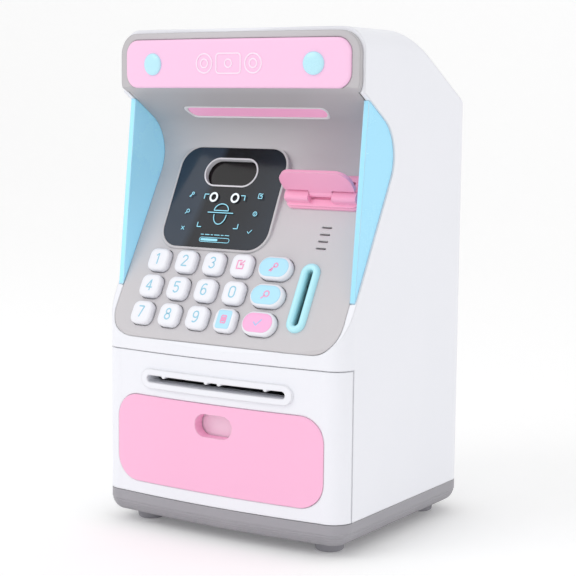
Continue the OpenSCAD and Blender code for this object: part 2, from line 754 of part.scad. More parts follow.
// ---------- door ----------
// Everything that a square outline in X and Z gives on the door's crowned front
module door_slice(y0, y1) {
    intersection() {
        along_y(front_y - 5, -30) children();
        crowned(y0, y1, 5, 90);
    }
}
module front_door() {
    z0 = base_top + 0.3;
    z1 = door_top - gap;
    color("ghostwhite") difference() {
        union() {
            intersection() {
                difference() {
                    translate([0, 0, z0]) linear_extrude(z1 - z0) plan(0, front_y);
                    translate([0, 0, z0 + 2]) linear_extrude(z1 - z0 - 4) plan(wall, front_y);
                    block(-52, 52, -47, 80, 0, 100);
                    block(-70, 70, edge_y - 0.3, 80, 0, 100);
                    // wider seam on the latch side
                    block(20, 70, edge_y - 0.7, 80, 0, 100);
                }
                union() {
                    block(-70, 70, -60, -47, 0, 100);
                    block(-70, 70, -47.1, -40, z0 + 2, z1 - 2);
                    block(-70, 70, -47.1, -40, 0, 100);
                }
            }
            // barrel of the hinge
            translate([hinge[0], hinge[1], z0]) cylinder(r = barrel_r, h = z1 - z0);
            // lip round the note slot, and the wall behind it
            door_slice(front_y - 1.2, front_y + 1) translate([0, slot_z]) pill(slot_l + 6.4, 8.4);
            intersection() {
                along_y(-56, -47) translate([0, slot_z]) rounded_box(slot_l + 5, 7.6, 2);
                translate([0, front_y + crown_r, 40]) cylinder(r = crown_r, h = 40, $fn = 720);
            }
            // cup of the finger pull
            along_y(front_y + 1.6, front_y + 2.2 + pull_d + 1.6) translate([0, pull_z])
                pill(pull_w + 4.4, pull_l + 4.4);
            // lug for the latch bolt
            block(latch[0] - 3.6, latch[0] + 3, front_y + 4, latch[1] + 4.4, 70.4, 73.2);
        }
        // swinging edges of the barrel side
        difference() {
            block(-70, -56, hinge[1] - 0.4, 0, 0, 100);
            translate([hinge[0], hinge[1], 0]) cylinder(r = barrel_r + 0.1, h = 100);
        }
        // recess of the coloured panel and its cup
        door_slice(front_y - 8, front_y + 1) translate([0, (panel_z0 + panel_z1) / 2])
            rounded_box(panel_w + 0.3, panel_z1 - panel_z0 + 0.3, panel_r + 0.15);
        along_y(front_y - 2, front_y + 1 + pull_d) translate([0, pull_z]) pill(pull_w + 2.3, pull_l + 2.3);
        // note slot, wider at its front, with four small teeth at its upper edge
        difference() {
            along_y(-70, -40) translate([0, slot_z]) pill(slot_l, slot_h);
            for (x = [-26, -3.3, 3.3, 26])
                translate([x, -44, slot_z + slot_h / 2]) rotate([90, 0, 0]) cylinder(r = 0.9, h = 20);
        }
        for (z = [z0 - 1, z1 - 5.4])
            translate([hinge[0], hinge[1], z]) cylinder(r = hinge_pin_r, h = 6.4);
        block(latch[0] - 2.4, latch[0] + 2.4, latch[1] - 2.4, latch[1] + 2.4, 69, 75);
        block(latch[0] - 2.4, latch[0] + 2.4, latch[1] - 2.4, latch[1] + 6, 74, 80);
    }
}
module door_panel() {
    color("pink") difference() {
        union() {
            door_slice(front_y - 0.4, front_y + 0.9) translate([0, (panel_z0 + panel_z1) / 2])
                rounded_box(panel_w, panel_z1 - panel_z0, panel_r);
            along_y(front_y + 0.5, front_y + pull_d) translate([0, pull_z]) pill(pull_w + 2, pull_l + 2);
        }
        along_y(-70, -40) translate([0, pull_z]) pill(pull_w, pull_l);
    }
}
module door_hinge_pins() {
    color("silver") for (z = [base_top - 4.4, door_top - 5])
        translate([hinge[0], hinge[1], z]) cylinder(r = hinge_pin_r, h = 9);
}
module latch_coil() {
    color("goldenrod") difference() {
        block(latch[0] - 6, latch[0] + 4.2, latch[1] - 3, latch[1] + 8, 80.1, 88);
        block(latch[0] - 2.2, latch[0] + 2.2, latch[1] - 2.2, latch[1] + 2.2, 79, 92);
    }
}
module latch_bolt() {
    h = bolt_w / 2;
    color("silver") block(latch[0] - h, latch[0] + h, latch[1] - h, latch[1] + h, 73.8, 90);
}

// ---------- note feed ----------
// Idler axis: where circles of the two mesh distances about the drive and motor axes cross
idler = let (a = (roller_n + idler_n) * tooth_m / 2 + mesh_slack,
             b = (pinion_n + idler_n) * tooth_m / 2 + mesh_slack,
             line = motor - drive, d = norm(line), u = line / d,
             along = (a * a - b * b + d * d) / (2 * d), off = sqrt(a * a - along * along))
    drive + along * u + off * [u[1], -u[0]];
// Straight-sided gear about the X axis, with a tooth towards the angle a
module gear(n, x, yz, a) {
    r = n * tooth_m / 2;
    pitch = 360 / n;
    tooth = [[-0.27, -1.1], [-0.17, 0], [-0.08, 0.75], [0.08, 0.75], [0.17, 0], [0.27, -1.1]];
    translate([0, yz[0], yz[1]]) along_x(x, x + gear_t) rotate(a) polygon([for (i = [0:n - 1], t = tooth)
        (r + t[1] * tooth_m) * [cos(pitch * (i + t[0])), sin(pitch * (i + t[0]))]]);
}
roller_dir = turn(idler - drive);
motor_dir = turn(motor - idler);
idler_turn = roller_dir + 180 + 180 / idler_n;
// How far the idler's nearest tooth stands past the line to the motor
idler_lag = let (p = 360 / idler_n, k = (idler_turn - motor_dir) / p) (k - round(k)) * p;
pinion_turn = motor_dir + 180 + 180 / pinion_n - idler_lag * idler_n / pinion_n;
module feed_frame() {
    plate = [[-43, 55], [-33, 50], [-10, 50], [-4, 56], [-4, 77.5], [-43, 77.5]];
    color("gainsboro") difference() {
        union() {
            for (x = [-47, 45])
                along_x(x, x + 2) polygon(plate);
            along_x(35, 37) polygon([[-28, 50], [-10, 50], [-4, 56], [-4, 77.5], [-28, 77.5]]);
            block(-47, 47, -9.4, -4, 75.9, 77.5);
            rod_x(37, 45, idler, 1.2);
            // note guide behind the rollers
            block(-45.1, 35.1, -30, -24, 75.9, 77.5);
        }
        for (yz = [drive, pinch])
            rod_x(-50, 50, yz, shaft_r + pin_gap);
        rod_x(34, 38, motor, 3.1);
    }
}
module drive_roller() {
    color("dimgray") union() {
        rod_x(-46.8, 46.8, drive, shaft_r);
        for (x = [-26, 14])
            rod_x(x, x + 12, drive, drive_r);
        gear(roller_n, gear_x, drive, roller_dir);
    }
}
module pinch_roller() {
    color("dimgray") union() {
        rod_x(-46.8, 46.8, pinch, shaft_r);
        for (x = [-26, 14])
            rod_x(x, x + 12, pinch, pinch_r);
    }
}
module idler_gear() {
    color("ivory") difference() {
        gear(idler_n, gear_x, idler, idler_turn);
        rod_x(30, 50, idler, 1.2 + pin_gap);
    }
}
module feed_motor() {
    color("silver") union() {
        rod_x(9, 35, motor, 9.6);
        rod_x(34, 36.5, motor, 3);
        rod_x(5.5, 9, motor, 4);
    }
}
module motor_pinion() {
    color("goldenrod") union() {
        gear(pinion_n, gear_x, motor, pinion_turn);
        rod_x(36.7, gear_x + 1, motor, 1);
    }
}

// ---------- power ----------
module battery_box() {
    in_y = rear_y - wall;
    color("gainsboro") difference() {
        union() {
            block(-29, 29, 37.4, in_y - 0.1, box_z - 23.4, box_z + 23.4);
            // flange on the inside of the rear cover, and the boss of the cover's screw
            block(-35, 35, in_y - 1.7, in_y - 0.1, box_z - 30, box_z + 32);
            block(-4, 4, in_y - 7, in_y - 1, box_z + 22.4, box_z + 28.6);
        }
        block(-27.4, 27.4, 38.8, in_y + 1, box_z - 22, box_z + 22);
        // notch for the cover's hook
        block(-12.3, 12.3, in_y - 2, in_y, box_z - 29, box_z - 23.8);
        translate([0, in_y - 6, box_z + cover_screw_z]) rotate([-90, 0, 0]) cylinder(r = 1.2, h = 7);
    }
}
module battery_cells() {
    color("darkorange") for (i = [-1:1])
        translate([0, 46.4, box_z + 14.8 * i]) {
            rod_x(-cell_l / 2, cell_l / 2, [0, 0], cell_r);
            rod_x(cell_l / 2, cell_l / 2 + 1, [0, 0], 2.6);
        }
}
module battery_cover() {
    in_y = rear_y - wall;
    color("ghostwhite") difference() {
        union() {
            block(-31, 31, in_y + 0.1, rear_y, box_z - 26, box_z + 29);
            block(-12, 12, in_y - 1.3, in_y + 1, box_z - 26, box_z - 24.4);
            block(-12, 12, in_y - 1.3, in_y - 0.1, box_z - 28.6, box_z - 25);
        }
        for (i = [-2:2])
            block(-9, 9, rear_y - 0.5, rear_y + 1, box_z - 16 + 2.6 * i, box_z - 14.8 + 2.6 * i);
        translate([0, in_y - 1, box_z + cover_screw_z]) rotate([-90, 0, 0]) {
            cylinder(r = 1.5, h = 6);
            translate([0, 0, wall - 0.2]) cylinder(r = 2.7, h = 4);
        }
    }
}
module switch_knob() {
    y = rear_y - wall + 1;
    color("dimgray") union() {
        block(39.7, 44.3, y - 4, y + 0.9, 127.2, 133);
        block(38, 46, y - 5.5, y - 3.6, 126, 134.4);
    }
}
module case_screws() {
    color("darkgray") union() {
        for (x = cover_screws_x, z = cover_screws_z)
            translate([x, rear_y, z]) rotate([90, 0, 0]) screw(7);
        translate([0, rear_y, box_z + cover_screw_z]) rotate([90, 0, 0]) screw(7);
        for (i = [-1, 1], y = base_screw_y)
            translate([i * base_screw_x, y, base_z + 0.1]) screw(6);
    }
}
module screw(l) {
    difference() {
        cylinder(r = 2.4, h = 1.2);
        translate([-1.8, -0.25, -1]) cube([3.6, 0.5, 1.6]);
        translate([-0.25, -1.8, -1]) cube([0.5, 3.6, 1.6]);
    }
    translate([0, 0, 1.1]) cylinder(r = 1.1, h = l - 1.1);
}

main_casing();
rear_cover();
base_tray();
feet();
fascia();
header_plate();
header_stud_left();
header_stud_right();
lamp_lens();
side_window_left();
side_window_right();
screen_panel();
sensor_bezel();
sensor_lens();
coin_frame();
coin_flap();
coin_flap_pin();
coin_chute();
card_frame();
card_guide();
key_1();
key_2();
key_3();
key_4();
key_5();
key_6();
key_7();
key_8();
key_9();
key_0();
key_save();
key_menu();
key_unlock();
key_search();
key_confirm();
key_membrane();
key_board();
display_board();
main_board();
speaker();
front_door();
door_panel();
door_hinge_pins();
latch_coil();
latch_bolt();
feed_frame();
drive_roller();
pinch_roller();
idler_gear();
feed_motor();
motor_pinion();
battery_box();
battery_cells();
battery_cover();
switch_knob();
case_screws();
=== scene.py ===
"""Looks of a toy cash machine savings bank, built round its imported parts. Metres, +Z up, front towards -Y."""

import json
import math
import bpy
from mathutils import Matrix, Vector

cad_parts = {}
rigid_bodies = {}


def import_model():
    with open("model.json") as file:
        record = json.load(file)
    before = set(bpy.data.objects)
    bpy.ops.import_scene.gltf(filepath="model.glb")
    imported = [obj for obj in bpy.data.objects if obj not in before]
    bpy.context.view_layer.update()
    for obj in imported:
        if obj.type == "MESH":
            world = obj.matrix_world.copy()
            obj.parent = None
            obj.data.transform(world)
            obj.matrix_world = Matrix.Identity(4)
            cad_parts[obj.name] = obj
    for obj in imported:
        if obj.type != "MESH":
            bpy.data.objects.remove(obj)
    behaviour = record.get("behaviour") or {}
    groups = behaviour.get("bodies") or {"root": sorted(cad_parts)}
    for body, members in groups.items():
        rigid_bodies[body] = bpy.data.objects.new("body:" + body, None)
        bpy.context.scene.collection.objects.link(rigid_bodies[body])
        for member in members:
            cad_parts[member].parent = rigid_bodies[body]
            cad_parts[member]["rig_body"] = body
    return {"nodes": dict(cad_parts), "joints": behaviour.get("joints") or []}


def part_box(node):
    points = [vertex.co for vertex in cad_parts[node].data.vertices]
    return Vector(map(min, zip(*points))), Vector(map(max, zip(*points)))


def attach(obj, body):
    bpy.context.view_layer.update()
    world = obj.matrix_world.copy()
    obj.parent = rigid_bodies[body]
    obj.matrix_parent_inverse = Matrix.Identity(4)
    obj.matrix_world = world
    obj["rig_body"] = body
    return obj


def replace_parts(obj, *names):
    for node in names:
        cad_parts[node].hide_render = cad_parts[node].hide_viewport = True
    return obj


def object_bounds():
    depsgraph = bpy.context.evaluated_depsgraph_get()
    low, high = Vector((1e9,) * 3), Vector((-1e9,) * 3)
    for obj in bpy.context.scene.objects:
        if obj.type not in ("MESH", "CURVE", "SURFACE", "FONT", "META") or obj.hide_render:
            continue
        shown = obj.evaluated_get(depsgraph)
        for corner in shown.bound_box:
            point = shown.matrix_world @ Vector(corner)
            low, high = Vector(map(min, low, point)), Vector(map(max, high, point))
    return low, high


bl_info = {
    "name": "Toy Cash Machine Bank",
    "version": (1, 0, 0),
    "blender": (4, 5, 0),
    "location": "View3D > Sidebar > Toy Bank",
    "description": "Builds the finishes, keys, legends and screen of a toy cash machine savings bank",
    "category": "Object",
}

import bmesh
import bpy
import numpy as np
from mathutils import Matrix, Vector

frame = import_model()
CAD_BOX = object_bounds()
NODES = frame["nodes"]
JOINTS = {j["name"]: j for j in frame["joints"]}
MM = 0.001

# The console's own directions: along the body, up the slope, and outwards against a key's travel
ACROSS = np.array([1.0, 0.0, 0.0])
CONSOLE_OUT = -np.array(JOINTS["key_1_press"]["axis"], float)
CONSOLE_OUT /= np.linalg.norm(CONSOLE_OUT)
CONSOLE_UP = np.cross(CONSOLE_OUT, ACROSS)


# ---------- measuring the frame ----------
def corners(node):
    """Vertices of a part at rest, as an array of x, y, z."""
    mesh = NODES[node].data
    flat = np.zeros(len(mesh.vertices) * 3)
    mesh.vertices.foreach_get("co", flat)
    return flat.reshape(-1, 3)


def extent(node, direction):
    """Lowest and highest reach of a part along a direction."""
    reach = corners(node) @ np.asarray(direction, float)
    return reach.min(), reach.max()


def middle(node, direction):
    """Midpoint of a part's reach along a direction."""
    low, high = extent(node, direction)
    return (low + high) / 2


def body_of(node):
    """The moving body that a part belongs to."""
    return NODES[node]["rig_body"]


def plane(origin, right, up, out):
    """Returns a function that places u, v, w arrays on a flat frame: origin + u right + v up + w out."""
    origin, right, up, out = (np.asarray(a, float) for a in (origin, right, up, out))

    def place(u, v, w):
        return origin + np.multiply.outer(u, right) + np.multiply.outer(v, up) + np.multiply.outer(w, out)

    return place


def crowned(front, height, radius):
    """Returns a function that places u, v, w on the crowned front: y falls back by u squared over twice the
    crown's radius."""

    def place(u, v, w):
        return np.stack([u, front + u * u / (2 * radius) - w, height + v], axis=-1)

    return place


def shifted(place, right, up):
    """The same place function, with its middle moved right and up."""

    def moved(u, v, w):
        return place(u + right, v + up, w)

    return moved


# ---------- surfaces ----------
def outline(width, length, radii, arc=8, straight=1):
    """Rounded rectangle, anticlockwise from its right side: four quarter circles of the given radii (top
    right, top left, bottom left, bottom right) joined by straight runs cut into equal steps."""
    radii = np.broadcast_to(np.asarray(radii, float), 4)
    signs = np.array([[1, 1], [-1, 1], [-1, -1], [1, -1]], float)
    centres = signs * (np.array([width, length]) / 2 - radii[:, None])
    angles = np.linspace(0, math.pi / 2, arc + 1)[None, :] + np.arange(4)[:, None] * math.pi / 2
    turns = centres[:, None, :] + radii[:, None, None] * np.stack([np.cos(angles), np.sin(angles)], -1)
    ends, starts = turns[:, -1], np.roll(turns[:, 0], -1, axis=0)
    steps = np.linspace(0, 1, straight + 1)[1:-1]
    runs = ends[:, None, :] + steps[None, :, None] * (starts - ends)[:, None, :]
    return np.concatenate([turns, runs], axis=1).reshape(-1, 2)


def grid_faces(rows, columns, wrap_rows=False, wrap_columns=True):
    """Quads between neighbouring rows and columns of a grid of points."""
    i = np.arange(rows if wrap_rows else rows - 1)
    j = np.arange(columns if wrap_columns else columns - 1)
    i, j = np.meshgrid(i, j, indexing="ij")
    i2, j2 = (i + 1) % rows, (j + 1) % columns
    quads = [i * columns + j, i * columns + j2, i2 * columns + j2, i2 * columns + j]
    return np.stack(quads, -1).reshape(-1, 4)


def make_piece(name, shape, material, node, slot):
    """Puts a shape (points, faces) into a mesh, merges doubled points, turns the faces outwards and makes the
    piece ride on the body of a part."""
    points, faces = shape
    mesh = bpy.data.meshes.new(name)
    mesh.from_pydata(points.reshape(-1, 3).tolist(), [], faces.tolist())
    work = bmesh.new()
    work.from_mesh(mesh)
    bmesh.ops.remove_doubles(work, verts=work.verts, dist=2e-6)
    bmesh.ops.dissolve_degenerate(work, edges=work.edges, dist=1e-6)
    bmesh.ops.recalc_face_normals(work, faces=work.faces)
    work.to_mesh(mesh)
    work.free()
    mesh.polygons.foreach_set("use_smooth", np.full(len(mesh.polygons), True))
    mesh.materials.append(material)
    piece = bpy.data.objects.new(name, mesh)
    bpy.context.scene.collection.objects.link(piece)
    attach(piece, body_of(node))
    return piece


def inset_rings(width, length, radii, profile, place, arc, straight):
    """One ring of points for each (inset, height) of a profile. An inset shrinks sides and corner radii
    alike."""
    radii = np.broadcast_to(np.asarray(radii, float), 4)
    tiny = 1e-7
    rings = []
    for inset, height in profile:
        inset = min(inset, min(width, length) / 2 - tiny)
        flat = outline(width - 2 * inset, length - 2 * inset, np.maximum(radii - inset, tiny), arc, straight)
        rings.append(place(flat[:, 0], flat[:, 1], np.full(len(flat), height)))
    return np.array(rings)


def pillow(width, length, radii, profile, place, arc=8, straight=1, crown_rings=4):
    """Closed soft-edged plate: insets of an outline carried up the profile, then inwards over the top and
    under the bottom until they meet on the middle line."""
    reach = min(width, length) / 2
    (first, low), (last, high) = profile[0], profile[-1]
    under = [(reach + (first - reach) * t, low) for t in (0.0, 0.5)]
    over = [(last + (reach - last) * t, high) for t in np.linspace(0, 1, crown_rings + 1)[1:]]
    rings = inset_rings(width, length, radii, under + list(profile) + over, place, arc, straight)
    return rings, grid_faces(*rings.shape[:2])


def collar(width, length, radii, profile, place, arc=8, straight=1):
    """Closed ring: a closed profile of (inset, height) carried round an outline."""
    rings = inset_rings(width, length, radii, profile, place, arc, straight)
    return rings, grid_faces(*rings.shape[:2], wrap_rows=True)


def quarter(radius, height, steps=5):
    """(inset, height) points of a quarter round that rises to a height."""
    a = np.linspace(0, math.pi / 2, steps)
    return [(radius * (1 - math.cos(t)), height - radius * (1 - math.sin(t))) for t in a]


def ribbon(path, width, rise, place, closed=False, sink=0.00006):
    """Raised line: a low rounded profile carried along a flat path, with round ends. Path points are u, v."""
    path = np.asarray(path, float)
    half = width / 2
    if closed:
        tangent = np.roll(path, -1, 0) - np.roll(path, 1, 0)
        scale = np.ones(len(path))
    else:
        tangent = np.gradient(path, axis=0)
        tangent /= np.linalg.norm(tangent, axis=1)[:, None]
        cap = np.linspace(0, math.pi / 2, 4)[:-1]
        head = path[0] - tangent[0] * half * np.cos(cap)[:, None]
        tail = path[-1] + tangent[-1] * half * np.cos(cap[::-1])[:, None]
        tangent = np.concatenate([np.repeat(tangent[:1], 3, 0), tangent, np.repeat(tangent[-1:], 3, 0)])
        path = np.concatenate([head, path, tail])
        scale = np.concatenate([np.sin(cap), np.ones(len(path) - 6), np.sin(cap[::-1])])
    tangent /= np.linalg.norm(tangent, axis=1)[:, None]
    side = np.stack([-tangent[:, 1], tangent[:, 0]], -1)
    across = np.array([-1, -1, -0.72, 0.72, 1, 1]) * half
    height = np.array([-sink, rise * 0.5, rise, rise, rise * 0.5, -sink])
    flat = path[:, None, :] + side[:, None, :] * (across[None, :, None] * scale[:, None, None])
    high = np.broadcast_to(height, flat.shape[:2]).copy()
    if not closed:
        high[0] = high[-1] = -sink
    points = place(flat[..., 0], flat[..., 1], high)
    return points, grid_faces(len(path), 6, wrap_rows=closed)


def joined(parts):
    """Several shapes as one."""
    points, faces, start = [], [], 0
    for p, f in parts:
        p = p.reshape(-1, 3)
        points.append(p)
        faces.append(f + start)
        start += len(p)
    return np.concatenate(points), np.concatenate(faces)


# ---------- drawing strokes ----------
def arc_path(cx, cy, rx, ry, start, end, steps=14):
    """Points on an ellipse between two angles in degrees."""
    t = np.radians(np.linspace(start, end, steps))
    return np.stack([cx + rx * np.cos(t), cy + ry * np.sin(t)], -1)


def line_path(*points, step=8):
    """Points along straight runs between the given ones."""
    points = np.array(points, float)
    t = np.linspace(0, 1, step)[:-1, None]
    runs = [a + (b - a) * t for a, b in zip(points[:-1], points[1:])]
    return np.concatenate(runs + [points[-1:]])


def run(*pieces):
    """Several paths joined end to end, without doubled points."""
    path = np.concatenate(pieces)
    keep = np.concatenate([[True], np.linalg.norm(np.diff(path, axis=0), axis=1) > 1e-6])
    return path[keep]


def rounded_loop(cx, cy, width, height, radius):
    """Rounded rectangle round a centre, as a path."""
    return outline(width, height, radius, arc=5, straight=3) + np.array([cx, cy])


def rounded_polygon(corners_uv, radius, arc=7):
    """Closed loop round a convex polygon. Each corner is an arc of the radius that touches both of its sides:
    its centre is radius / sin(half the corner's angle) along the bisector."""
    corners_uv = np.asarray(corners_uv, float)
    loop = []
    for k, corner in enumerate(corners_uv):
        back = corners_uv[k - 1] - corner
        ahead = corners_uv[(k + 1) % len(corners_uv)] - corner
        back, ahead = back / np.linalg.norm(back), ahead / np.linalg.norm(ahead)
        half = math.acos(float(np.clip(back @ ahead, -1, 1))) / 2
        bisector = (back + ahead) / np.linalg.norm(back + ahead)
        centre = corner + bisector * radius / math.sin(half)
        first = corner + back * radius / math.tan(half) - centre
        last = corner + ahead * radius / math.tan(half) - centre
        start = math.atan2(first[1], first[0])
        sweep = (math.atan2(last[1], last[0]) - start + math.pi) % (2 * math.pi) - math.pi
        for t in np.linspace(0, 1, arc):
            loop.append(centre + radius * np.array([math.cos(start + sweep * t), math.sin(start + sweep * t)]))
    return np.array(loop)


def ring(cx, cy, rx, ry=None, steps=28, start=0):
    """Closed stroke round an ellipse."""
    return arc_path(cx, cy, rx, ry or rx, start, start + 360, steps)[:-1], True


def curve(*paths):
    """Open stroke along several paths, end to end."""
    return run(*paths), False


def polyline(*points):
    """Open stroke along straight runs."""
    return line_path(*points), False


# Digits drawn in a cell 1 wide and 1.7 high, centred on the origin; each stroke is (path, closed)
DIGITS = {
    "0": [(rounded_loop(0, 0, 0.9, 1.6, 0.42), True)],
    "1": [polyline((-0.28, 0.5), (0.06, 0.8), (0.06, -0.8))],
    "2": [curve(arc_path(0, 0.4, 0.42, 0.4, 165, -30), line_path((0.3, 0.12), (-0.44, -0.8), (0.46, -0.8)))],
    "3": [curve(arc_path(0, 0.41, 0.4, 0.39, 150, -90), arc_path(0, -0.4, 0.44, 0.42, 90, -150))],
    "4": [polyline((0.2, -0.8), (0.2, 0.8), (-0.46, -0.36), (0.5, -0.36))],
    "5": [curve(line_path((0.4, 0.8), (-0.34, 0.8), (-0.38, 0.1)), arc_path(0, -0.3, 0.43, 0.5, 130, -145))],
    "6": [curve(arc_path(0.08, 0.1, 0.5, 0.72, 62, 180), arc_path(0, -0.33, 0.42, 0.47, 180, 520, 26))],
    "7": [polyline((-0.42, 0.8), (0.42, 0.8), (-0.1, -0.8))],
    "8": [ring(0, 0.42, 0.36, 0.38, 24, -90), ring(0, -0.38, 0.42, 0.42, 26, 90)],
    "9": [curve(arc_path(-0.08, -0.1, 0.5, 0.72, -118, 0), arc_path(0, 0.33, 0.42, 0.47, 0, 340, 26))],
}

# Pictures in a cell 2 wide and 2 high
PICTURES = {
    "key": [ring(0.42, 0.42, 0.42, steps=24), polyline((0.1, 0.1), (-0.8, -0.8)),
            polyline((-0.62, -0.62), (-0.36, -0.88)), polyline((-0.36, -0.36), (-0.14, -0.58))],
    "lens": [ring(0.2, 0.2, 0.58), polyline((-0.24, -0.24), (-0.8, -0.8))],
    "check": [polyline((-0.8, 0.0), (-0.2, -0.6), (0.85, 0.65))],
    "save": [polyline((0.1, 0.85), (-0.75, 0.85), (-0.75, -0.85), (0.75, -0.85), (0.75, 0.1)),
             polyline((0.8, 0.85), (0.0, 0.0)), polyline((0.0, 0.42), (0.0, 0.0), (0.42, 0.0))],
    "menu": [(rounded_loop(0, 0, 1.2, 1.7, 0.2), True), polyline((-0.3, 0.35), (0.3, 0.35)),
             polyline((-0.3, 0.0), (0.3, 0.0)), polyline((-0.3, -0.35), (0.3, -0.35))],
    "cross": [polyline((-0.55, 0.55), (0.55, -0.55)), polyline((-0.55, -0.55), (0.55, 0.55))],
    "coin": [ring(0, 0, 0.75), polyline((0, 0.36), (0, -0.36))],
}


def drawn(strokes, scale, width, rise, place, centre=(0.0, 0.0)):
    """Strokes as raised lines, scaled and moved to a centre."""
    return [ribbon(path * scale + np.array(centre), width, rise, place, closed) for path, closed in strokes]


# ---------- materials ----------
class Value:
    """A number or colour on its way through a material. Arithmetic on it adds Math nodes."""

    def __init__(self, paint, socket):
        self.paint, self.socket = paint, socket

    def _math(self, operation, first, second):
        return self.paint.add("ShaderNodeMath", {"operation": operation}, {0: first, 1: second})

    def __add__(self, other):
        return self._math("ADD", self, other)

    def __sub__(self, other):
        return self._math("SUBTRACT", self, other)

    def __rsub__(self, other):
        return self._math("SUBTRACT", other, self)

    def __mul__(self, other):
        return self._math("MULTIPLY", self, other)

    def __gt__(self, other):
        return self._math("GREATER_THAN", self, other)

    def __lt__(self, other):
        return self._math("LESS_THAN", self, other)

    __radd__ = __add__
    __rmul__ = __mul__


class Paint:
    """One material and the nodes that make it."""

    def __init__(self, name):
        self.material = bpy.data.materials.new(name)
        self.material.use_nodes = True
        self.tree = self.material.node_tree
        self.tree.nodes.clear()

    def add(self, kind, settings=None, inputs=None, output=0):
        """Adds a node: settings first, then values or links of its sockets. Gives back one of its outputs."""
        node = self.tree.nodes.new(kind)
        for key, value in (settings or {}).items():
            setattr(node, key, value)
        for key, value in (inputs or {}).items():
            if isinstance(value, Value):
                self.tree.links.new(value.socket, node.inputs[key])
            else:
                node.inputs[key].default_value = value
        return None if output is None else Value(self, node.outputs[output])

    def where(self):
        """Place on the piece, in metres."""
        return self.add("ShaderNodeTexCoord", output="Object")

    def noise(self, scale, detail=3.0, roughness=0.5, stretch=(1, 1, 1)):
        """Soft noise; scale is in features per metre, stretched along the axes."""
        at = self.add("ShaderNodeMapping", None, {"Vector": self.where(), "Scale": stretch})
        return self.add("ShaderNodeTexNoise", None,
                        {"Vector": at, "Scale": scale, "Detail": detail, "Roughness": roughness})

    def mix(self, factor, first, second):
        """Colour between two colours."""
        return self.add("ShaderNodeMix", {"data_type": "RGBA"}, {0: factor, 6: first, 7: second}, output=2)

    def ramp(self, value, low, high):
        """Value rescaled so that low gives 0 and high gives 1, and held there."""
        return self.add("ShaderNodeMapRange", None, {"Value": value, "From Min": low, "From Max": high})

    def along(self, vector, direction):
        """How far a vector reaches along a direction."""
        return self.add("ShaderNodeVectorMath", {"operation": "DOT_PRODUCT"}, {0: vector, 1: direction},
                        output="Value")

    def rounded(self, radius, samples=4):
        """Surface direction with the edges rounded off; radius is in millimetres."""
        return self.add("ShaderNodeBevel", {"samples": samples}, {"Radius": radius * MM})

    def bump(self, strength, distance, height, normal=None):
        """Surface direction tilted by a height; distance is the depth of the relief in metres."""
        inputs = {"Strength": strength, "Distance": distance, "Height": height}
        if normal:
            inputs["Normal"] = normal
        return self.add("ShaderNodeBump", None, inputs)

    def finish(self, **sockets):
        """Closes the material with one principled shader; base_color=... feeds its Base Color, and so on."""
        inputs = {key.replace("_", " ").title().replace("Ior", "IOR"): value for key, value in sockets.items()}
        shader = self.add("ShaderNodeBsdfPrincipled", None, inputs)
        self.add("ShaderNodeOutputMaterial", None, {"Surface": shader}, output=None)
        return self.material


def linear(colour):
    """Display colour to linear light, with an alpha of 1."""
    c = np.asarray(colour[:3], float)
    c = np.where(c <= 0.04045, c / 12.92, ((c + 0.055) / 1.055) ** 2.4)
    return (float(c[0]), float(c[1]), float(c[2]), 1.0)


def shaded(colour, factor, shift=(1, 1, 1)):
    """The colour made lighter or darker by a factor, with each channel shifted."""
    return tuple(min(1.0, c * factor * s) for c, s in zip(colour[:3], shift)) + (1.0,)


def moulded(name, colour, rough=0.36, round_edge=0.5, grain=0.12, drift=0.05, wear=0.05, specular=0.45,
            coat=0.0, glow=0.0, painted_shade=None):
    """Moulded plastic: slow colour drift and flow marks, a fine spark-eroded grain, handling scuffs in the
    gloss, and edges that are rounded and rubbed a little paler. round_edge is in millimetres; glow is emitted
    light, on a part that is no lamp a painted glow standing in for light let through a thin translucent wall;
    the last argument, when given, returns how far a painted shade darkens the colour at each spot."""
    p = Paint(name)
    base = linear(colour)
    slow = p.noise(16, 3, 0.5)
    flow = p.noise(30, 4, 0.6, (1.0, 1.0, 0.25))
    pores = p.noise(2600, 2, 0.6)
    peel = p.noise(420, 2, 0.5)
    scuffs = p.ramp(p.noise(150, 5, 0.75, (1.0, 1.0, 7.0)), 0.60, 0.78)
    smudge = p.ramp(p.noise(34, 4, 0.62), 0.46, 0.72)
    soft = p.rounded(round_edge, samples=6)
    flat = p.add("ShaderNodeNewGeometry", output="True Normal")
    edge = p.ramp(1.0 - p.along(soft, flat), 0.015, 0.22)
    dull, pale = shaded(base, 1.0 - drift, (0.985, 1.0, 1.0)), shaded(base, 1.0 + drift * 0.5)
    tone = p.mix(slow * 0.6 + flow * 0.4, dull, pale)
    tone = p.mix(edge * wear * (0.5 + smudge), tone, (1.0, 1.0, 1.0, 1.0))
    tone = p.mix(scuffs * 0.05, tone, shaded(base, 0.80, (1.02, 1.0, 0.98)))
    # painted shade: the colour sinks towards a darker copy, 0.76 of it, where the last argument is high
    if painted_shade:
        tone = p.mix(painted_shade(p), tone, shaded(base, 0.76))
    roughness = rough + smudge * 0.07 + scuffs * 0.10 - edge * 0.05 + (pores - 0.5) * 0.06
    relief = pores * 0.55 + peel * 0.45 - scuffs * 0.35
    return p.finish(base_color=tone, roughness=roughness, normal=p.bump(grain, 0.00006, relief, soft),
                    specular_ior_level=specular, coat_weight=coat, coat_roughness=0.12, emission_color=tone,
                    emission_strength=glow)


def ink(name, colour):
    """Printed ink: thin, slightly mottled and a little broken where the weave of the print screen shows."""
    p = Paint(name)
    base = linear(colour)
    weave = p.noise(3200, 1, 0.5)
    tone = p.mix(p.noise(900, 3, 0.6), shaded(base, 0.92), shaded(base, 1.06))
    return p.finish(base_color=tone, roughness=0.42 + (weave - 0.5) * 0.1, normal=p.bump(0.1, 0.00002, weave))


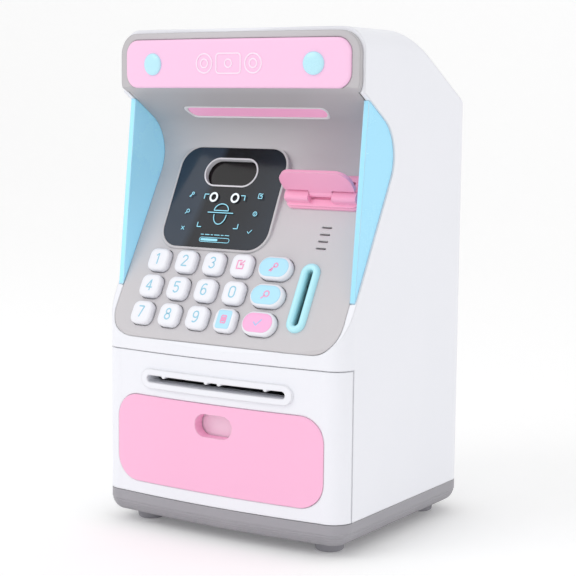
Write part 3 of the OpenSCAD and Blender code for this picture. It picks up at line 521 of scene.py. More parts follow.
def glowing(name, colour, strength=0.35):
    """Lit legend under a dark panel: the colour with a faint glow that pulses from spot to spot."""
    p = Paint(name)
    base = linear(colour)
    mottle = p.noise(700, 2, 0.5)
    tone = p.mix(mottle, shaded(base, 0.85), base)
    return p.finish(base_color=tone, roughness=0.3 + mottle * 0.1, emission_color=tone,
                    emission_strength=strength)


def smoked(name, colour, sheen_tint, sheen):
    """Dark glossy panel: deep colour with faint smears, dust and hairline polish marks. The sheen is painted: a
    cool tint in two slanting bands, one with a sharp edge and one that deepens slowly."""
    p = Paint(name)
    smear = p.ramp(p.noise(46, 4, 0.6, (1.0, 1.6, 0.6)), 0.42, 0.70)
    dust = p.ramp(p.noise(1500, 3, 0.7), 0.70, 0.80)
    hair = p.ramp(p.noise(300, 3, 0.7, (8.0, 1.0, 1.0)), 0.62, 0.74)
    slant = p.along(p.where(), (1.0, 0.25, -0.32)) + p.noise(24, 2, 0.5) * 0.006
    left = 1.0 - p.ramp(slant, -0.078, -0.074)
    right = p.ramp(slant, -0.060, -0.030)
    tone = p.mix((left * 0.8 + right * 0.5) * sheen, linear(colour), linear(sheen_tint))
    tone = p.mix(smear * 0.12 + dust * 0.10, tone, shaded(linear(sheen_tint), 1.2))
    wavy = p.bump(0.05, 0.0001, p.noise(60, 2, 0.5), p.rounded(0.4))
    return p.finish(base_color=tone, roughness=0.10 + smear * 0.10 + dust * 0.2 + hair * 0.05, normal=wavy,
                    specular_ior_level=0.22)


def metal(name, colour, rough=0.3, brush=(1.0, 40.0, 1.0)):
    """Bare metal with fine drawn lines and slight tarnish."""
    p = Paint(name)
    base = linear(colour)
    lines = p.noise(500, 3, 0.6, brush)
    tarnish = p.ramp(p.noise(120, 3, 0.6), 0.5, 0.75)
    tone = p.mix(tarnish * 0.3, base, shaded(base, 0.7, (1.05, 1.0, 0.9)))
    return p.finish(base_color=tone, metallic=1.0, roughness=rough + lines * 0.12 + tarnish * 0.1,
                    normal=p.bump(0.15, 0.00003, lines))


def rubbery(name, colour, rough=0.72):
    """Rubber: matt, with a bloom of dust and a fine sanded grain."""
    p = Paint(name)
    base = linear(colour)
    bloom = p.ramp(p.noise(220, 4, 0.65), 0.45, 0.75)
    sanded = p.bump(0.3, 0.00006, p.noise(2400, 2, 0.6), p.rounded(0.3))
    return p.finish(base_color=p.mix(bloom * 0.25, base, shaded(base, 1.5)), roughness=rough + bloom * 0.12,
                    normal=sanded, specular_ior_level=0.3)


def board(name, colour):
    """Circuit board: solder mask over paler copper tracks."""
    p = Paint(name)
    base = linear(colour)
    cells = p.add("ShaderNodeTexVoronoi", {"feature": "DISTANCE_TO_EDGE"},
                  {"Vector": p.where(), "Scale": 240.0})
    track = cells < 0.09
    mottle = p.noise(300, 3, 0.6)
    tone = p.mix(track * 0.55, p.mix(mottle, shaded(base, 0.85), base), shaded(base, 1.9, (0.9, 1.1, 0.7)))
    return p.finish(base_color=tone, roughness=0.35 + mottle * 0.15, normal=p.bump(0.4, 0.00004, track))


def wrapped(name, colour):
    """Shrink wrap on a battery cell: a dark band near one end and a soft sheen."""
    p = Paint(name)
    base = linear(colour)
    x = p.along(p.where(), (1.0, 0.0, 0.0))
    band = (x > 0.010) * (x < 0.0247)
    mottle = p.noise(200, 3, 0.5)
    tone = p.mix(band, p.mix(mottle, shaded(base, 0.9), base), (0.02, 0.02, 0.025, 1.0))
    return p.finish(base_color=tone, roughness=0.28 + mottle * 0.12)


def overhang_shade(p):
    """Painted shade: 0 on the console, rising to 1 under the overhang and back to 0 before the header's front
    edge."""
    at = p.where()
    return p.ramp(p.along(at, (0, 0, 1)), 0.156, 0.184) * p.ramp(p.along(at, (0, 1, 0)), -0.047, -0.037)


def cover_with(material, *nodes):
    """Gives the material to every slot of the named parts."""
    for node in nodes:
        mesh = NODES[node].data
        if not mesh.materials:
            mesh.materials.append(material)
        for i in range(len(mesh.materials)):
            mesh.materials[i] = material


# ---------- settings ----------
def colour_setting(name, description, default):
    return bpy.props.FloatVectorProperty(name=name, description=description, default=default, subtype="COLOR",
                                         size=3, min=0.0, max=1.0)


def size_setting(name, description, default, low=0.0, high=0.1):
    return bpy.props.FloatProperty(name=name, description=description, default=default, min=low, max=high,
                                   unit="LENGTH", precision=5)


def angle_setting(name, description, degrees):
    return bpy.props.FloatProperty(name=name, description=description, default=math.radians(degrees),
                                   subtype="ANGLE")


class ToyBankColours(bpy.types.PropertyGroup):
    white: colour_setting("White", "Moulded white of the casing, the door and the keys", (0.945, 0.945, 0.968))
    grey: colour_setting("Console grey", "Grey of the console and the header's rim", (0.800, 0.785, 0.797))
    base: colour_setting("Base grey", "Grey of the base tray", (0.635, 0.625, 0.648))
    pink: colour_setting("Header pink", "Pale pink of the header plate", (0.985, 0.790, 0.912))
    emblem: colour_setting("Emblem", "Paler pink of the header's emblem", (1.0, 0.895, 0.965))
    door_pink: colour_setting("Door pink", "Pink of the door's panel", (0.990, 0.735, 0.862))
    pull_pink: colour_setting("Pull pink", "Pale pink of the floor of the finger pull", (0.985, 0.875, 0.935))
    flap_pink: colour_setting("Flap pink", "Stronger pink of the coin inlet", (1.0, 0.685, 0.818))
    lamp_pink: colour_setting("Lamp pink", "Pink of the lamp strip", (1.0, 0.700, 0.850))
    lamp_rim: colour_setting("Lamp rim", "Grey of the moulded rim round the lamp strip", (0.900, 0.885, 0.900))
    blue: colour_setting("Window blue", "Blue of the side windows", (0.640, 0.885, 0.990))
    slot_blue: colour_setting("Slot blue", "Blue of the card slot's frame", (0.735, 0.950, 0.990))
    stud_blue: colour_setting("Stud blue", "Blue of the header's studs", (0.740, 0.925, 0.975))
    key_blue: colour_setting("Key blue", "Blue of the coloured keys", (0.700, 0.900, 0.980))
    key_pink: colour_setting("Key pink", "Pink of the confirm key", (0.985, 0.700, 0.870))
    legend_blue: colour_setting("Legend blue", "Ink of the digits", (0.590, 0.820, 0.905))
    legend_pink: colour_setting("Legend pink", "Ink of the pink pictures", (0.960, 0.640, 0.800))
    legend_pale: colour_setting("Legend pale", "Ink of the confirm key's check mark", (0.72, 0.80, 0.95))
    screen: colour_setting("Screen", "Smoked screen panel", (0.085, 0.088, 0.105))
    bezel: colour_setting("Bezel", "Ring round the sensor window", (0.87, 0.86, 0.88))
    glow: colour_setting("Screen legends", "Pale blue of the lit legends", (0.560, 0.830, 0.910))


class ToyBankSizes(bpy.types.PropertyGroup):
    key_edge: size_setting("Key edge", "Radius of the soft edge of a key's top", 0.0013)
    digit: size_setting("Digit", "Width of a digit's cell", 0.0030)
    legend_line: size_setting("Legend line", "Width of the lines printed on the keys", 0.00060)
    screen_line: size_setting("Screen line", "Width of the lines on the screen", 0.00042)
    plate_edge: size_setting("Plate edge", "Radius of the header plate's edge", 0.0011)
    pull_floor: size_setting("Pull floor", "Gap between the panel's cup and the floor of the pull", 0.0009)
    stud: size_setting("Stud", "Width of a stud on the header", 0.0094)
    crown_radius: size_setting("Crown", "Radius of the crown of the front faces", 0.470, 0.3, 1.0)


class ToyBankStage(bpy.types.PropertyGroup):
    floor: colour_setting("Floor", "Colour of the floor and backdrop", (0.985, 0.985, 0.985))
    lens: bpy.props.FloatProperty(name="Lens", description="Focal length of the camera in millimetres",
                                  default=96.88, min=10.0, max=300.0)
    azimuth: angle_setting("Azimuth", "Turn of the camera to the viewer's right of the front", 32.54)
    elevation: angle_setting("Elevation", "Height of the camera above the horizon", 6.65)
    roll: angle_setting("Roll", "Tilt of the camera about its line of sight", 0.59)
    distance: size_setting("Distance", "Distance of the camera from its aim", 0.69179, 0.1, 5.0)
    aim: bpy.props.FloatVectorProperty(name="Aim", description="Point that the camera looks at", size=3,
                                       default=(-0.00019, 0.00173, 0.10247), subtype="XYZ", unit="LENGTH",
                                       precision=5)
    sky: bpy.props.FloatProperty(name="Sky", description="Strength of the even light from all round",
                                 default=0.86, min=0.0)
    key_light: bpy.props.FloatProperty(name="Key light", description="Power of the large front light in watts",
                                       default=3.3, min=0.0)


class ToyBankStep:
    """What every step's operator shares"""

    bl_options = {"REGISTER", "UNDO"}


# ---------- casing ----------
class TOYBANK_OT_casing(ToyBankStep, bpy.types.Operator):
    """White casing, rear cover and door, grey base tray and feet"""

    bl_idname = "toy_bank.casing"
    bl_label = "Casing and base"

    def execute(self, context):
        c = context.scene.toy_bank_colours
        white = moulded("white casing", c.white, round_edge=0.9, grain=0.10, drift=0.035, wear=0.25)
        cover_with(white, "main_casing", "rear_cover", "battery_cover", "front_door")
        grey = moulded("grey base", c.base, rough=0.46, round_edge=0.8, grain=0.22, wear=0.18)
        cover_with(grey, "base_tray")
        cover_with(rubbery("foot rubber", (0.60, 0.595, 0.62)), "feet")
        cover_with(moulded("black switch", (0.13, 0.13, 0.14), rough=0.4, round_edge=0.3), "switch_knob")
        cover_with(metal("screw steel", (0.72, 0.72, 0.74)), "case_screws")
        return {"FINISHED"}


# ---------- console, lamp strip and windows ----------
# The lamp strip: half its height, half the lengths of its upper and lower edges, and the overhang's slope
LAMP_HALF_HEIGHT = 0.0037
LAMP_HALF_TOP = 0.0366
LAMP_HALF_BOTTOM = 0.0342
OVERHANG_SLOPE = math.radians(32)
# Section of the rim round it: (reach beyond the strip, corner radius, height over the strip's face)
LAMP_RIM = ((0.0008, 0.0026, 0.00026), (0.0006, 0.0026, 0.00048), (0.0002, 0.0027, 0.00052),
            (-0.0002, 0.0029, 0.00030), (-0.0003, 0.0029, 0.00002))


def lamp_rim():
    """Low rim: loops round the strip's slanted outline, stepped over its edge, with rounder corners inside."""
    along = np.array([0.0, -math.cos(OVERHANG_SLOPE), math.sin(OVERHANG_SLOPE)])
    out = np.array([0.0, -math.sin(OVERHANG_SLOPE), -math.cos(OVERHANG_SLOPE)])
    centre = ACROSS * middle("lamp_lens", ACROSS) + along * middle("lamp_lens", along)
    place = plane(centre + out * extent("lamp_lens", out)[1], ACROSS, along, out)
    loops = []
    for reach, radius, height in LAMP_RIM:
        top, bottom, rise = LAMP_HALF_TOP + reach, LAMP_HALF_BOTTOM + reach, LAMP_HALF_HEIGHT + reach
        loop = rounded_polygon([(-top, rise), (-bottom, -rise), (bottom, -rise), (top, rise)], radius)
        loops.append(place(loop[:, 0], loop[:, 1], np.full(len(loop), height)))
    points = np.stack(loops, axis=1)
    return points, grid_faces(*points.shape[:2], wrap_rows=True)


def window_blue(name, colour, glow):
    """Clear-edged blue with a thin gloss coat and a painted glow of the given strength."""
    return moulded(name, colour, rough=0.24, round_edge=0.7, grain=0.06, drift=0.06, wear=0.5, coat=0.1,
                   glow=glow)


class TOYBANK_OT_fascia(ToyBankStep, bpy.types.Operator):
    """Grey console, lamp strip with its rim, and blue side windows"""

    bl_idname = "toy_bank.fascia"
    bl_label = "Console and windows"

    def execute(self, context):
        c = context.scene.toy_bank_colours
        # the console's grey carries a painted shade that darkens it under the overhang
        grey = moulded("console grey", c.grey, rough=0.42, round_edge=1.0, grain=0.18, drift=0.04, wear=0.22,
                       painted_shade=overhang_shade)
        cover_with(grey, "fascia")
        pink = moulded("lamp pink", c.lamp_pink, rough=0.30, round_edge=0.4, grain=0.05, wear=0.2, glow=0.09)
        cover_with(pink, "lamp_lens")
        cover_with(window_blue("window blue", c.blue, 0.07), "side_window_right")
        # the same part as the right one, with a stronger painted glow that stands in for light through its wall
        # and lightens it more than the right one
        cover_with(window_blue("window blue left", c.blue, 0.18), "side_window_left")
        rim = moulded("lamp rim", c.lamp_rim, round_edge=0.1, grain=0.06, drift=0.03, wear=0.1)
        make_piece("lamp_rim", lamp_rim(), rim, "fascia", "panel_grey")
        return {"FINISHED"}


# ---------- header ----------
PLATE_CORNER = 0.0062
PLATE_WALL = 0.0022
STUD_FOOT = 0.0014
# The plate's face is measured outside the studs, further than this from its middle
PLATE_CLEAR = 0.046

# Two coins beside a note, drawn in metres
COIN_PLACE = 0.0123
EMBLEM = [ring(side * COIN_PLACE, 0, radius, steps=40) for side in (-1, 1) for radius in (0.0040, 0.0018)]
EMBLEM += [(rounded_loop(0, 0, 0.0122, 0.0082, 0.0014), True), ring(0, 0, 0.0017, steps=24)]
EMBLEM_LINE = 0.0007
EMBLEM_RISE = 0.0003


def crown_front(node, radius, beyond):
    """Front of a crowned part, carried to its middle, from the vertices further out than beyond."""
    points = corners(node)
    flat = points[:, 1] - points[:, 0] ** 2 / (2 * radius)
    return flat[np.abs(points[:, 0]) > beyond].min()


def stud_dome(width, reach, place):
    """Low dome: a straight foot, then inset = r (1 - cos t) while the height goes up as sin t."""
    radius = width / 2
    profile = [(0.0, -STUD_FOOT), (0.0, reach * 0.25)]
    for t in np.linspace(0.3, 1.4, 8):
        profile.append((radius * (1 - math.cos(t)), reach * (0.25 + 0.75 * math.sin(t))))
    return pillow(width, width, radius, profile, place, 10, 1)


class TOYBANK_OT_header(ToyBankStep, bpy.types.Operator):
    """Pink header plate with its embossed coins and note, and the two blue studs"""

    bl_idname = "toy_bank.header"
    bl_label = "Header"

    def execute(self, context):
        c, s = context.scene.toy_bank_colours, context.scene.toy_bank_sizes
        low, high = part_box("header_plate")
        front = crown_front("header_plate", s.crown_radius, PLATE_CLEAR)
        height = (low.z + high.z) / 2
        place = crowned(front, height, s.crown_radius)
        profile = [(0.0, -PLATE_WALL)] + quarter(s.plate_edge, 0.0)
        plate = pillow(high.x - low.x, high.z - low.z, PLATE_CORNER, profile, place, 8, 24, 6)
        pink = moulded("header pink", c.pink, rough=0.34, round_edge=0.4, grain=0.07, drift=0.03, wear=0.3)
        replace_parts(make_piece("header_face", plate, pink, "header_plate", "pale_pink"), "header_plate")
        pale = moulded("emblem pink", c.emblem, rough=0.30, round_edge=0.2, grain=0.05, drift=0.02, wear=0.3)
        emblem = joined(drawn(EMBLEM, 1.0, EMBLEM_LINE, EMBLEM_RISE, place))
        make_piece("header_emblem", emblem, pale, "header_plate", "pale_pink")
        blue = moulded("stud blue", c.stud_blue, rough=0.24, round_edge=0.2, grain=0.04, wear=0.3,
                       specular=0.5, coat=0.2)
        for side in ("left", "right"):
            node = "header_stud_" + side
            x, z = middle(node, ACROSS), middle(node, (0, 0, 1)) - height
            reach = front + x * x / (2 * s.crown_radius) - extent(node, (0, 1, 0))[0]
            dome = stud_dome(s.stud, reach, shifted(place, x, z))
            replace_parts(make_piece("stud_" + side + "_dome", dome, blue, node, "stud_blue"), node)
        return {"FINISHED"}


# ---------- keys ----------
DIGIT_KEYS = ["key_%s" % digit for digit in DIGITS]
# Keys with a picture: the picture, its ink, and the inlay's colour where there is one
PICTURE_KEYS = {"key_save": ("save", "pink", None), "key_menu": ("menu", "pink", "blue"),
                "key_unlock": ("key", "pink", "blue"), "key_search": ("lens", "pink", "blue"),
                "key_confirm": ("check", "pale", "pink")}
KEY_LENGTH = 0.0104
KEY_CORNER = 0.0032
# A key wider than this has round ends
SQUARE_KEY = 0.012
# The flange that stays behind the console's edge, both sides together
KEY_FLANGE = 0.0016
# A key's vertices this near its highest one count as its top
KEY_TOP_BAND = 0.0002
# Gap under the cap's walls, and the straight run of wall under its rounded edge
KEY_FOOT = 0.0004
KEY_LAND = 0.0004
INLAY_MARGIN = 0.0020
INLAY_DEPTH = 0.0006
INLAY_RISE = 0.00018
INLAY_EDGE = 0.00012
MENU_INLAY = (0.0068, 0.0082, 0.0010)
PICTURE_SCALE = 0.0021
MENU_SCALE = 0.0019
INK_RISE = 0.00005


def key_frame(node):
    """Places u, v, w on a key's top: across, up the slope and outwards. Also gives the key's whole depth."""
    out_low, out_high = extent(node, CONSOLE_OUT)
    points = corners(node)
    cap = points[points @ CONSOLE_OUT > out_high - KEY_TOP_BAND]
    centre = (cap.min(0) + cap.max(0)) / 2
    centre = centre + CONSOLE_OUT * (out_high - centre @ CONSOLE_OUT)
    return plane(centre, ACROSS, CONSOLE_UP, CONSOLE_OUT), out_high - out_low


def key_width(node):
    low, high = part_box(node)
    return high.x - low.x - KEY_FLANGE


def key_cap(node, place, depth, edge):
    """Straight walls that end in a quarter round, under a flat top."""
    width = key_width(node)
    radius = KEY_CORNER if width < SQUARE_KEY else KEY_LENGTH / 2
    profile = [(0.0, -depth + KEY_FOOT), (0.0, -edge - KEY_LAND)] + quarter(edge, 0.0, 7)
    return pillow(width, KEY_LENGTH, radius, profile, place, 9, 2)


def key_inlay(node, place):
    """Thin coloured plate on a key: round-ended, or a small upright page on the menu key."""
    if node == "key_menu":
        width, length, radius = MENU_INLAY
    else:
        width, length = key_width(node) - INLAY_MARGIN, KEY_LENGTH - INLAY_MARGIN
        radius = length / 2
    profile = [(0.0, -INLAY_DEPTH), (0.0, INLAY_RISE - INLAY_EDGE)] + quarter(INLAY_EDGE, INLAY_RISE, 3)
    return pillow(width, length, radius, profile, place, 9, 2)


class TOYBANK_OT_keys(ToyBankStep, bpy.types.Operator):
    """Fifteen soft-edged keys with their printed digits and pictures"""

    bl_idname = "toy_bank.keys"
    bl_label = "Keys"

    def execute(self, context):
        c, s = context.scene.toy_bank_colours, context.scene.toy_bank_sizes
        white = moulded("key white", c.white, rough=0.30, round_edge=0.25, grain=0.06, drift=0.025, wear=0.1)
        inks = {"blue": ink("legend blue", c.legend_blue), "pink": ink("legend pink", c.legend_pink),
                "pale": ink("legend pale", c.legend_pale)}
        caps = {name: moulded("key " + name, colour, rough=0.30, round_edge=0.2, grain=0.06, drift=0.03,
                              wear=0.1)
                for name, colour in (("blue", c.key_blue), ("pink", c.key_pink))}
        for node in DIGIT_KEYS + list(PICTURE_KEYS):
            place, depth = key_frame(node)
            cap = make_piece(node + "_cap", key_cap(node, place, depth, s.key_edge), white, node, "key_white")
            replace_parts(cap, node)
            picture, paint, inlay = PICTURE_KEYS.get(node, (None, "blue", None))
            lift = 0.0
            if inlay:
                make_piece(node + "_inlay", key_inlay(node, place), caps[inlay], node, "key_" + inlay)
                lift = INLAY_RISE
            top = plane(place(np.array(0.0), np.array(0.0), np.array(lift)), ACROSS, CONSOLE_UP, CONSOLE_OUT)
            if picture:
                scale = MENU_SCALE if node == "key_menu" else PICTURE_SCALE
                legend = drawn(PICTURES[picture], scale, s.legend_line * 1.05, INK_RISE, top)
            else:
                legend = drawn(DIGITS[node[-1]], s.digit, s.legend_line, INK_RISE, top)
            make_piece(node + "_legend", joined(legend), inks[paint], node, "key_blue")
        return {"FINISHED"}


# ---------- screen ----------
# Drawn on the screen, in millimetres from the panel's middle
SCREEN_MARKS = {"key": (-16.8, 0.6), "lens": (-16.9, -7.4), "cross": (-17.2, -15.2),
                "save": (19.2, 1.2), "coin": (18.6, -7.0), "check": (18.0, -15.2)}
MARK_SCALE = 1.25
FACE_X = 0.8
SCAN_HALF_WIDTH = 10.6
SCAN_TOP, SCAN_BOTTOM = 1.0, -14.2
SCAN_CORNER = 2.0
LIP_Y = -6.3
DASH_Y = -17.6
DASHES = ((-6.6, 1.3), (-4.4, 2.2), (-1.3, 0.9), (0.5, 2.6), (4.0, 1.2), (6.1, 2.0))
BAR_Y = -19.9
EYES_X = (-4.9, 6.3)
# In metres: the widths of the bar's filling and of the eyes' line, and the height of all the lines
FILLING_LINE = 0.0011
EYE_LINE = 0.0009
SCREEN_RISE = 0.00003
# The panel's vertices this near its highest or lowest one count as its top or bottom
PANEL_BAND = 0.0005


def scan_corners():
    """Four corner marks round the face."""
    marks = []
    for side in (-1, 1):
        for y, up in ((SCAN_TOP, 1), (SCAN_BOTTOM, -1)):
            x = FACE_X + side * SCAN_HALF_WIDTH
            ends = (x, y - up * SCAN_CORNER), (x, y), (x - side * SCAN_CORNER, y)
            marks.append((line_path(*ends, step=5), False))
    return marks


def scanned_face():
    """A raised lip, the scan line across it and an open chin."""
    lip = run(arc_path(FACE_X, LIP_Y, 3.7, 3.1, 0, 180, 24), line_path((-2.9, LIP_Y), (4.5, LIP_Y)))[:-1]
    chin = arc_path(FACE_X, -8.3, 3.2, 4.3, 180, 360, 26)
    return [(lip, True), (line_path((-5.9, -7.3), (7.2, -7.3), step=12), False), (chin, False)]


def screen_frame():
    """Places u, v, w on the screen's own slope, from the edges of its panel."""
    points = corners("screen_panel")
    top = points[points[:, 2] > points[:, 2].max() - PANEL_BAND]
    bottom = points[points[:, 2] < points[:, 2].min() + PANEL_BAND]
    rise = top.max(0) - bottom.max(0)
    up = np.array([0.0, rise[1], rise[2]])
    up /= np.linalg.norm(up)
    out = np.cross(ACROSS, up)
    centre = ACROSS * middle("screen_panel", ACROSS) + up * middle("screen_panel", up)
    return plane(centre + out * extent("screen_panel", out)[1], ACROSS, up, out)


class TOYBANK_OT_screen(ToyBankStep, bpy.types.Operator):
    """Smoked screen with its lit legends, and the sensor window"""

    bl_idname = "toy_bank.screen"
    bl_label = "Screen"

    def execute(self, context):
        c, s = context.scene.toy_bank_colours, context.scene.toy_bank_sizes
        cover_with(smoked("smoked screen", c.screen, (0.20, 0.25, 0.31), 1.0), "screen_panel")
        bezel = moulded("bezel grey", c.bezel, rough=0.30, round_edge=0.15, grain=0.05, drift=0.04, wear=0.3)
        cover_with(bezel, "sensor_bezel")
        cover_with(smoked("sensor lens", (0.030, 0.016, 0.024), (0.09, 0.04, 0.06), 0.4), "sensor_lens")
        place, line = screen_frame(), s.screen_line
        parts = []
        for name, (x, y) in SCREEN_MARKS.items():
            parts += drawn(PICTURES[name], MARK_SCALE * MM, line * 0.8, SCREEN_RISE, place, (x * MM, y * MM))
        parts += drawn(scan_corners() + scanned_face(), MM, line, SCREEN_RISE, place)
        dashes = [(line_path((x, DASH_Y), (x + length, DASH_Y), step=4), False) for x, length in DASHES]
        parts += drawn(dashes, MM, line * 0.8, SCREEN_RISE, place)
        bar = rounded_loop(1.0, BAR_Y, 15.6, 2.0, 0.95), True
        filling = line_path((-5.7, BAR_Y), (2.2, BAR_Y), step=12), False
        parts += drawn([bar], MM, line * 0.6, SCREEN_RISE, place)
        parts += drawn([filling], MM, FILLING_LINE, SCREEN_RISE, place)
        glow = glowing("screen legends", c.glow)
        make_piece("screen_legends", joined(parts), glow, "screen_panel", "window_blue")
        eyes = drawn([ring(x, -0.2, 1.75, 1.85, 32) for x in EYES_X], MM, EYE_LINE, SCREEN_RISE, place)
        white = glowing("screen white", (0.90, 0.93, 0.95))
        make_piece("screen_eyes", joined(eyes), white, "screen_panel", "window_blue")
        return {"FINISHED"}


# ---------- coin inlet and card slot ----------
class TOYBANK_OT_coin_inlet(ToyBankStep, bpy.types.Operator):
    """Pink coin inlet with its flap and pin"""

    bl_idname = "toy_bank.coin_inlet"
    bl_label = "Coin inlet"

    def execute(self, context):
        c = context.scene.toy_bank_colours
        pink = moulded("flap pink", c.flap_pink, rough=0.34, grain=0.08, wear=0.35)
        cover_with(pink, "coin_frame", "coin_flap")
        cover_with(metal("pin steel", (0.72, 0.72, 0.74)), "coin_flap_pin")
        return {"FINISHED"}


SLOT_WIDTH = 0.0088
SLOT_WALL = 0.0031
SLOT_FLANGE = 0.0011
# Height of the roll over its shoulder, and how far the shoulder lies under the frame's top
SLOT_ROLL = 0.0015
SLOT_SHOULDER = 0.0013
SLOT_LEDGE = 0.0022
SLOT_DEPTH = 0.0052


def slot_ring(width, length, place):
    """Rolled edge: a half round of inset w / 2 (1 - cos t) and height sin t, over a wall that goes down inside
    and a ledge that rests on the console."""
    turn = np.linspace(0, math.pi, 9)
    profile = [(SLOT_WALL / 2 * (1 - math.cos(t)), SLOT_ROLL * math.sin(t) - SLOT_SHOULDER) for t in turn]
    profile += [(SLOT_WALL, -SLOT_DEPTH), (SLOT_WALL - SLOT_FLANGE, -SLOT_DEPTH),
                (SLOT_WALL - SLOT_FLANGE - 0.0001, -SLOT_LEDGE), (0.0, -SLOT_LEDGE)]
    return collar(width, length, width / 2, profile, place, 12, 10)


class TOYBANK_OT_card_slot(ToyBankStep, bpy.types.Operator):
    """Blue card slot with its rolled edge"""

    bl_idname = "toy_bank.card_slot"
    bl_label = "Card slot"

    def execute(self, context):
        c = context.scene.toy_bank_colours
        blue = moulded("slot blue", c.slot_blue, rough=0.28, round_edge=0.25, grain=0.05, drift=0.04, wear=0.2,
                       specular=0.5, coat=0.1)
        low, high = extent("card_frame", CONSOLE_UP)
        centre = ACROSS * middle("card_frame", ACROSS) + CONSOLE_UP * (low + high) / 2
        centre = centre + CONSOLE_OUT * extent("card_frame", CONSOLE_OUT)[1]
        shape = slot_ring(SLOT_WIDTH, high - low, plane(centre, ACROSS, CONSOLE_UP, CONSOLE_OUT))
        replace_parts(make_piece("card_slot_ring", shape, blue, "card_frame", "slot_blue"), "card_frame")
        return {"FINISHED"}


# ---------- door ----------
PULL_HEIGHT = 0.0492
PULL_WIDTH = 0.0204
PULL_LENGTH = 0.0112


class TOYBANK_OT_door(ToyBankStep, bpy.types.Operator):
    """Door's pink panel, the pale floor of its finger pull, and the hinge pins"""

    bl_idname = "toy_bank.door"
    bl_label = "Front door"

    def execute(self, context):
        c, s = context.scene.toy_bank_colours, context.scene.toy_bank_sizes
        pink = moulded("door pink", c.door_pink, rough=0.34, round_edge=0.6, grain=0.07, drift=0.03, wear=0.35)
        cover_with(pink, "door_panel")
        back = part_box("door_panel")[1].y + s.pull_floor
        place = plane((0.0, back, PULL_HEIGHT), ACROSS, (0, 0, 1), (0, -1, 0))
        profile = [(0.0, -0.0002), (0.0, 0.0001)] + quarter(0.0002, 0.0003, 3)
        floor = pillow(PULL_WIDTH, PULL_LENGTH, PULL_LENGTH / 2, profile, place, 9, 2)
        pale = moulded("pull pink", c.pull_pink, rough=0.4, round_edge=0.2, grain=0.08, drift=0.03, wear=0.2)
        make_piece("pull_floor", floor, pale, "door_panel", "pale_pink")
        cover_with(metal("hinge steel", (0.70, 0.70, 0.72)), "door_hinge_pins")
        return {"FINISHED"}


# ---------- inside ----------
class TOYBANK_OT_inside(ToyBankStep, bpy.types.Operator):
    """Finishes of the pieces inside: boards, feed, latch, speaker and battery box"""

    bl_idname = "toy_bank.inside"
    bl_label = "Inside"

    def execute(self, context):
        cream = moulded("inner plastic", (0.86, 0.85, 0.82), rough=0.5, round_edge=0.4, grain=0.3)
        cover_with(cream, "coin_chute", "card_guide", "feed_frame", "battery_box")
        cover_with(rubbery("key membrane", (0.86, 0.86, 0.84), 0.6), "key_membrane")
        cover_with(board("green board", (0.10, 0.38, 0.22)), "key_board", "display_board", "main_board")
        black = moulded("speaker black", (0.10, 0.10, 0.11), rough=0.6, round_edge=0.4, grain=0.4)
        cover_with(black, "speaker")
        cover_with(metal("bolt steel", (0.74, 0.74, 0.76)), "latch_bolt")
        cover_with(metal("motor steel", (0.66, 0.66, 0.68), 0.35), "feed_motor")
        cover_with(metal("coil copper", (0.78, 0.45, 0.26), 0.35, (1.0, 1.0, 30.0)), "latch_coil")
        cover_with(metal("pinion brass", (0.83, 0.69, 0.38), 0.28), "motor_pinion")
        cover_with(rubbery("roller rubber", (0.17, 0.17, 0.18)), "drive_roller", "pinch_roller")
        ivory = moulded("gear ivory", (0.91, 0.89, 0.82), rough=0.45, round_edge=0.15, grain=0.1)
        cover_with(ivory, "idler_gear")
        cover_with(wrapped("cell wrap", (0.88, 0.50, 0.12)), "battery_cells")
        return {"FINISHED"}


# ---------- stage ----------
# Lights: (name, place from the aim, width, share of the key light's power)
LIGHTS = (("key light", (-0.55, -0.95, 0.85), 0.9, 1.0), ("fill light", (1.0, -0.35, 0.45), 0.8, 0.12))
FLOOR_FRONT = -2.4
FLOOR_REACH = 1.6
FLOOR_BEND = 0.6
BACKDROP_TOP = 2.2
FLOOR_HALF_WIDTH = 3.0
SENSOR_WIDTH = 36.0


def swept_floor():
    """Floor that runs back, bends up through a quarter circle and rises: a profile carried along X."""
    turn = np.linspace(0, math.pi / 2, 16)
    back = FLOOR_REACH + FLOOR_BEND
    y = np.concatenate([[FLOOR_FRONT, 0.0], FLOOR_REACH + FLOOR_BEND * np.sin(turn), [back]])
    z = np.concatenate([[0.0, 0.0], FLOOR_BEND - FLOOR_BEND * np.cos(turn), [BACKDROP_TOP]])
    x = np.linspace(-FLOOR_HALF_WIDTH, FLOOR_HALF_WIDTH, 5)
    grid = np.stack(np.broadcast_arrays(x[None, :], y[:, None], z[:, None]), -1)
    return grid, grid_faces(*grid.shape[:2], wrap_columns=False)


def add_floor(colour):
    points, faces = swept_floor()
    mesh = bpy.data.meshes.new("floor")
    mesh.from_pydata(points.reshape(-1, 3).tolist(), [], faces.tolist())
    mesh.polygons.foreach_set("use_smooth", np.full(len(mesh.polygons), True))
    p = Paint("pale paper")
    base = linear(colour)
    tone = p.mix(p.noise(60, 3, 0.6), shaded(base, 0.99), base)
    mesh.materials.append(p.finish(base_color=tone, roughness=0.8, specular_ior_level=0.1, emission_color=tone,
                                   emission_strength=0.10))
    floor = bpy.data.objects.new("floor", mesh)
    bpy.context.scene.collection.objects.link(floor)


def add_sky(strength):
    world = bpy.data.worlds.new("soft room")
    world.use_nodes = True
    background = world.node_tree.nodes["Background"]
    background.inputs["Color"].default_value = (1.0, 1.0, 1.0, 1.0)
    background.inputs["Strength"].default_value = strength
    bpy.context.scene.world = world


def add_light(name, at, aim, width, power):
    """Large soft disc that faces the aim."""
    light = bpy.data.lights.new(name, "AREA")
    light.shape, light.size, light.energy = "DISK", width, power
    lamp = bpy.data.objects.new(name, light)
    lamp.matrix_world = Matrix.Translation(at) @ (at - aim).to_track_quat("Z", "Y").to_matrix().to_4x4()
    bpy.context.scene.collection.objects.link(lamp)


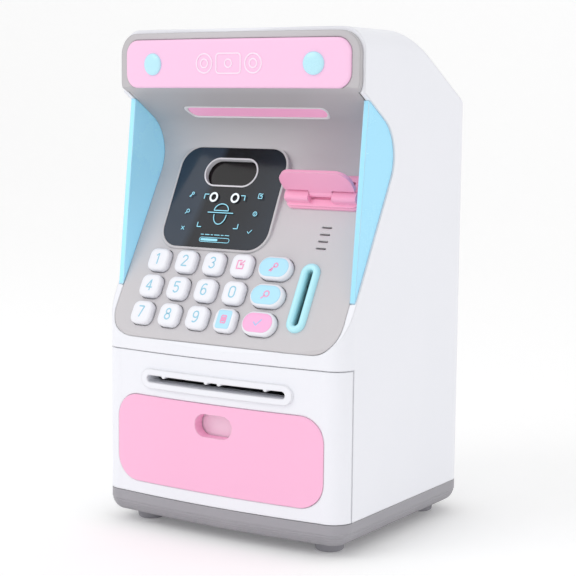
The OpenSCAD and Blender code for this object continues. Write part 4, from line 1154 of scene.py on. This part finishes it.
def add_camera(s):
    """Camera at a distance from its aim, turned by azimuth and elevation, then rolled about its sight line."""
    sin_a, cos_a = math.sin(s.azimuth), math.cos(s.azimuth)
    back = Vector((sin_a * math.cos(s.elevation), -cos_a * math.cos(s.elevation), math.sin(s.elevation)))
    right = Vector((cos_a, sin_a, 0.0))
    up = back.cross(right)
    turned_right = right * math.cos(s.roll) + up * math.sin(s.roll)
    turned_up = up * math.cos(s.roll) - right * math.sin(s.roll)
    data = bpy.data.cameras.new("camera")
    data.lens, data.sensor_width = s.lens, SENSOR_WIDTH
    data.clip_start, data.clip_end = 0.01, 20.0
    camera = bpy.data.objects.new("camera", data)
    turn = Matrix((turned_right, turned_up, back)).transposed().to_4x4()
    camera.matrix_world = Matrix.Translation(Vector(s.aim) + back * s.distance) @ turn
    bpy.context.scene.collection.objects.link(camera)
    bpy.context.scene.camera = camera


class TOYBANK_OT_stage(ToyBankStep, bpy.types.Operator):
    """Pale floor that curves up behind, soft lights and the camera"""

    bl_idname = "toy_bank.stage"
    bl_label = "Stage"

    def execute(self, context):
        s = context.scene.toy_bank_stage
        context.scene.view_settings.view_transform = "Standard"
        add_floor(s.floor)
        add_sky(s.sky)
        low, high = CAD_BOX
        aim = Vector(((low.x + high.x) / 2, (low.y + high.y) / 2, s.aim[2]))
        for name, place, width, share in LIGHTS:
            add_light(name, aim + Vector(place), aim, width, s.key_light * share)
        add_camera(s)
        return {"FINISHED"}


# ---------- panel and registration ----------
class TOYBANK_PT_panel(bpy.types.Panel):
    """Lists the steps that build the toy bank, with their settings"""

    bl_label = "Toy Bank"
    bl_idname = "TOYBANK_PT_panel"
    bl_space_type = "VIEW_3D"
    bl_region_type = "UI"
    bl_category = "Toy Bank"

    def draw(self, context):
        for step in STEPS:
            self.layout.operator(step.bl_idname)
        for name, group in GROUPS.items():
            box = self.layout.box()
            box.label(text=name.replace("toy_bank_", "").capitalize())
            for key in group.__annotations__:
                box.prop(getattr(context.scene, name), key)


STEPS = [TOYBANK_OT_stage, TOYBANK_OT_casing, TOYBANK_OT_fascia, TOYBANK_OT_header, TOYBANK_OT_screen,
         TOYBANK_OT_keys, TOYBANK_OT_coin_inlet, TOYBANK_OT_card_slot, TOYBANK_OT_door, TOYBANK_OT_inside]
GROUPS = {"toy_bank_colours": ToyBankColours, "toy_bank_sizes": ToyBankSizes, "toy_bank_stage": ToyBankStage}


def register():
    for name, group in GROUPS.items():
        bpy.utils.register_class(group)
        setattr(bpy.types.Scene, name, bpy.props.PointerProperty(type=group))
    for step in STEPS:
        bpy.utils.register_class(step)
    bpy.utils.register_class(TOYBANK_PT_panel)


def unregister():
    bpy.utils.unregister_class(TOYBANK_PT_panel)
    for step in reversed(STEPS):
        bpy.utils.unregister_class(step)
    for name, group in GROUPS.items():
        delattr(bpy.types.Scene, name)
        bpy.utils.unregister_class(group)


def main():
    """Builds everything in order."""
    register()
    bpy.ops.toy_bank.stage()
    bpy.ops.toy_bank.casing()
    bpy.ops.toy_bank.fascia()
    bpy.ops.toy_bank.header()
    bpy.ops.toy_bank.screen()
    bpy.ops.toy_bank.keys()
    bpy.ops.toy_bank.coin_inlet()
    bpy.ops.toy_bank.card_slot()
    bpy.ops.toy_bank.door()
    bpy.ops.toy_bank.inside()
    bpy.context.view_layer.update()


if __name__ == "__main__":
    main()
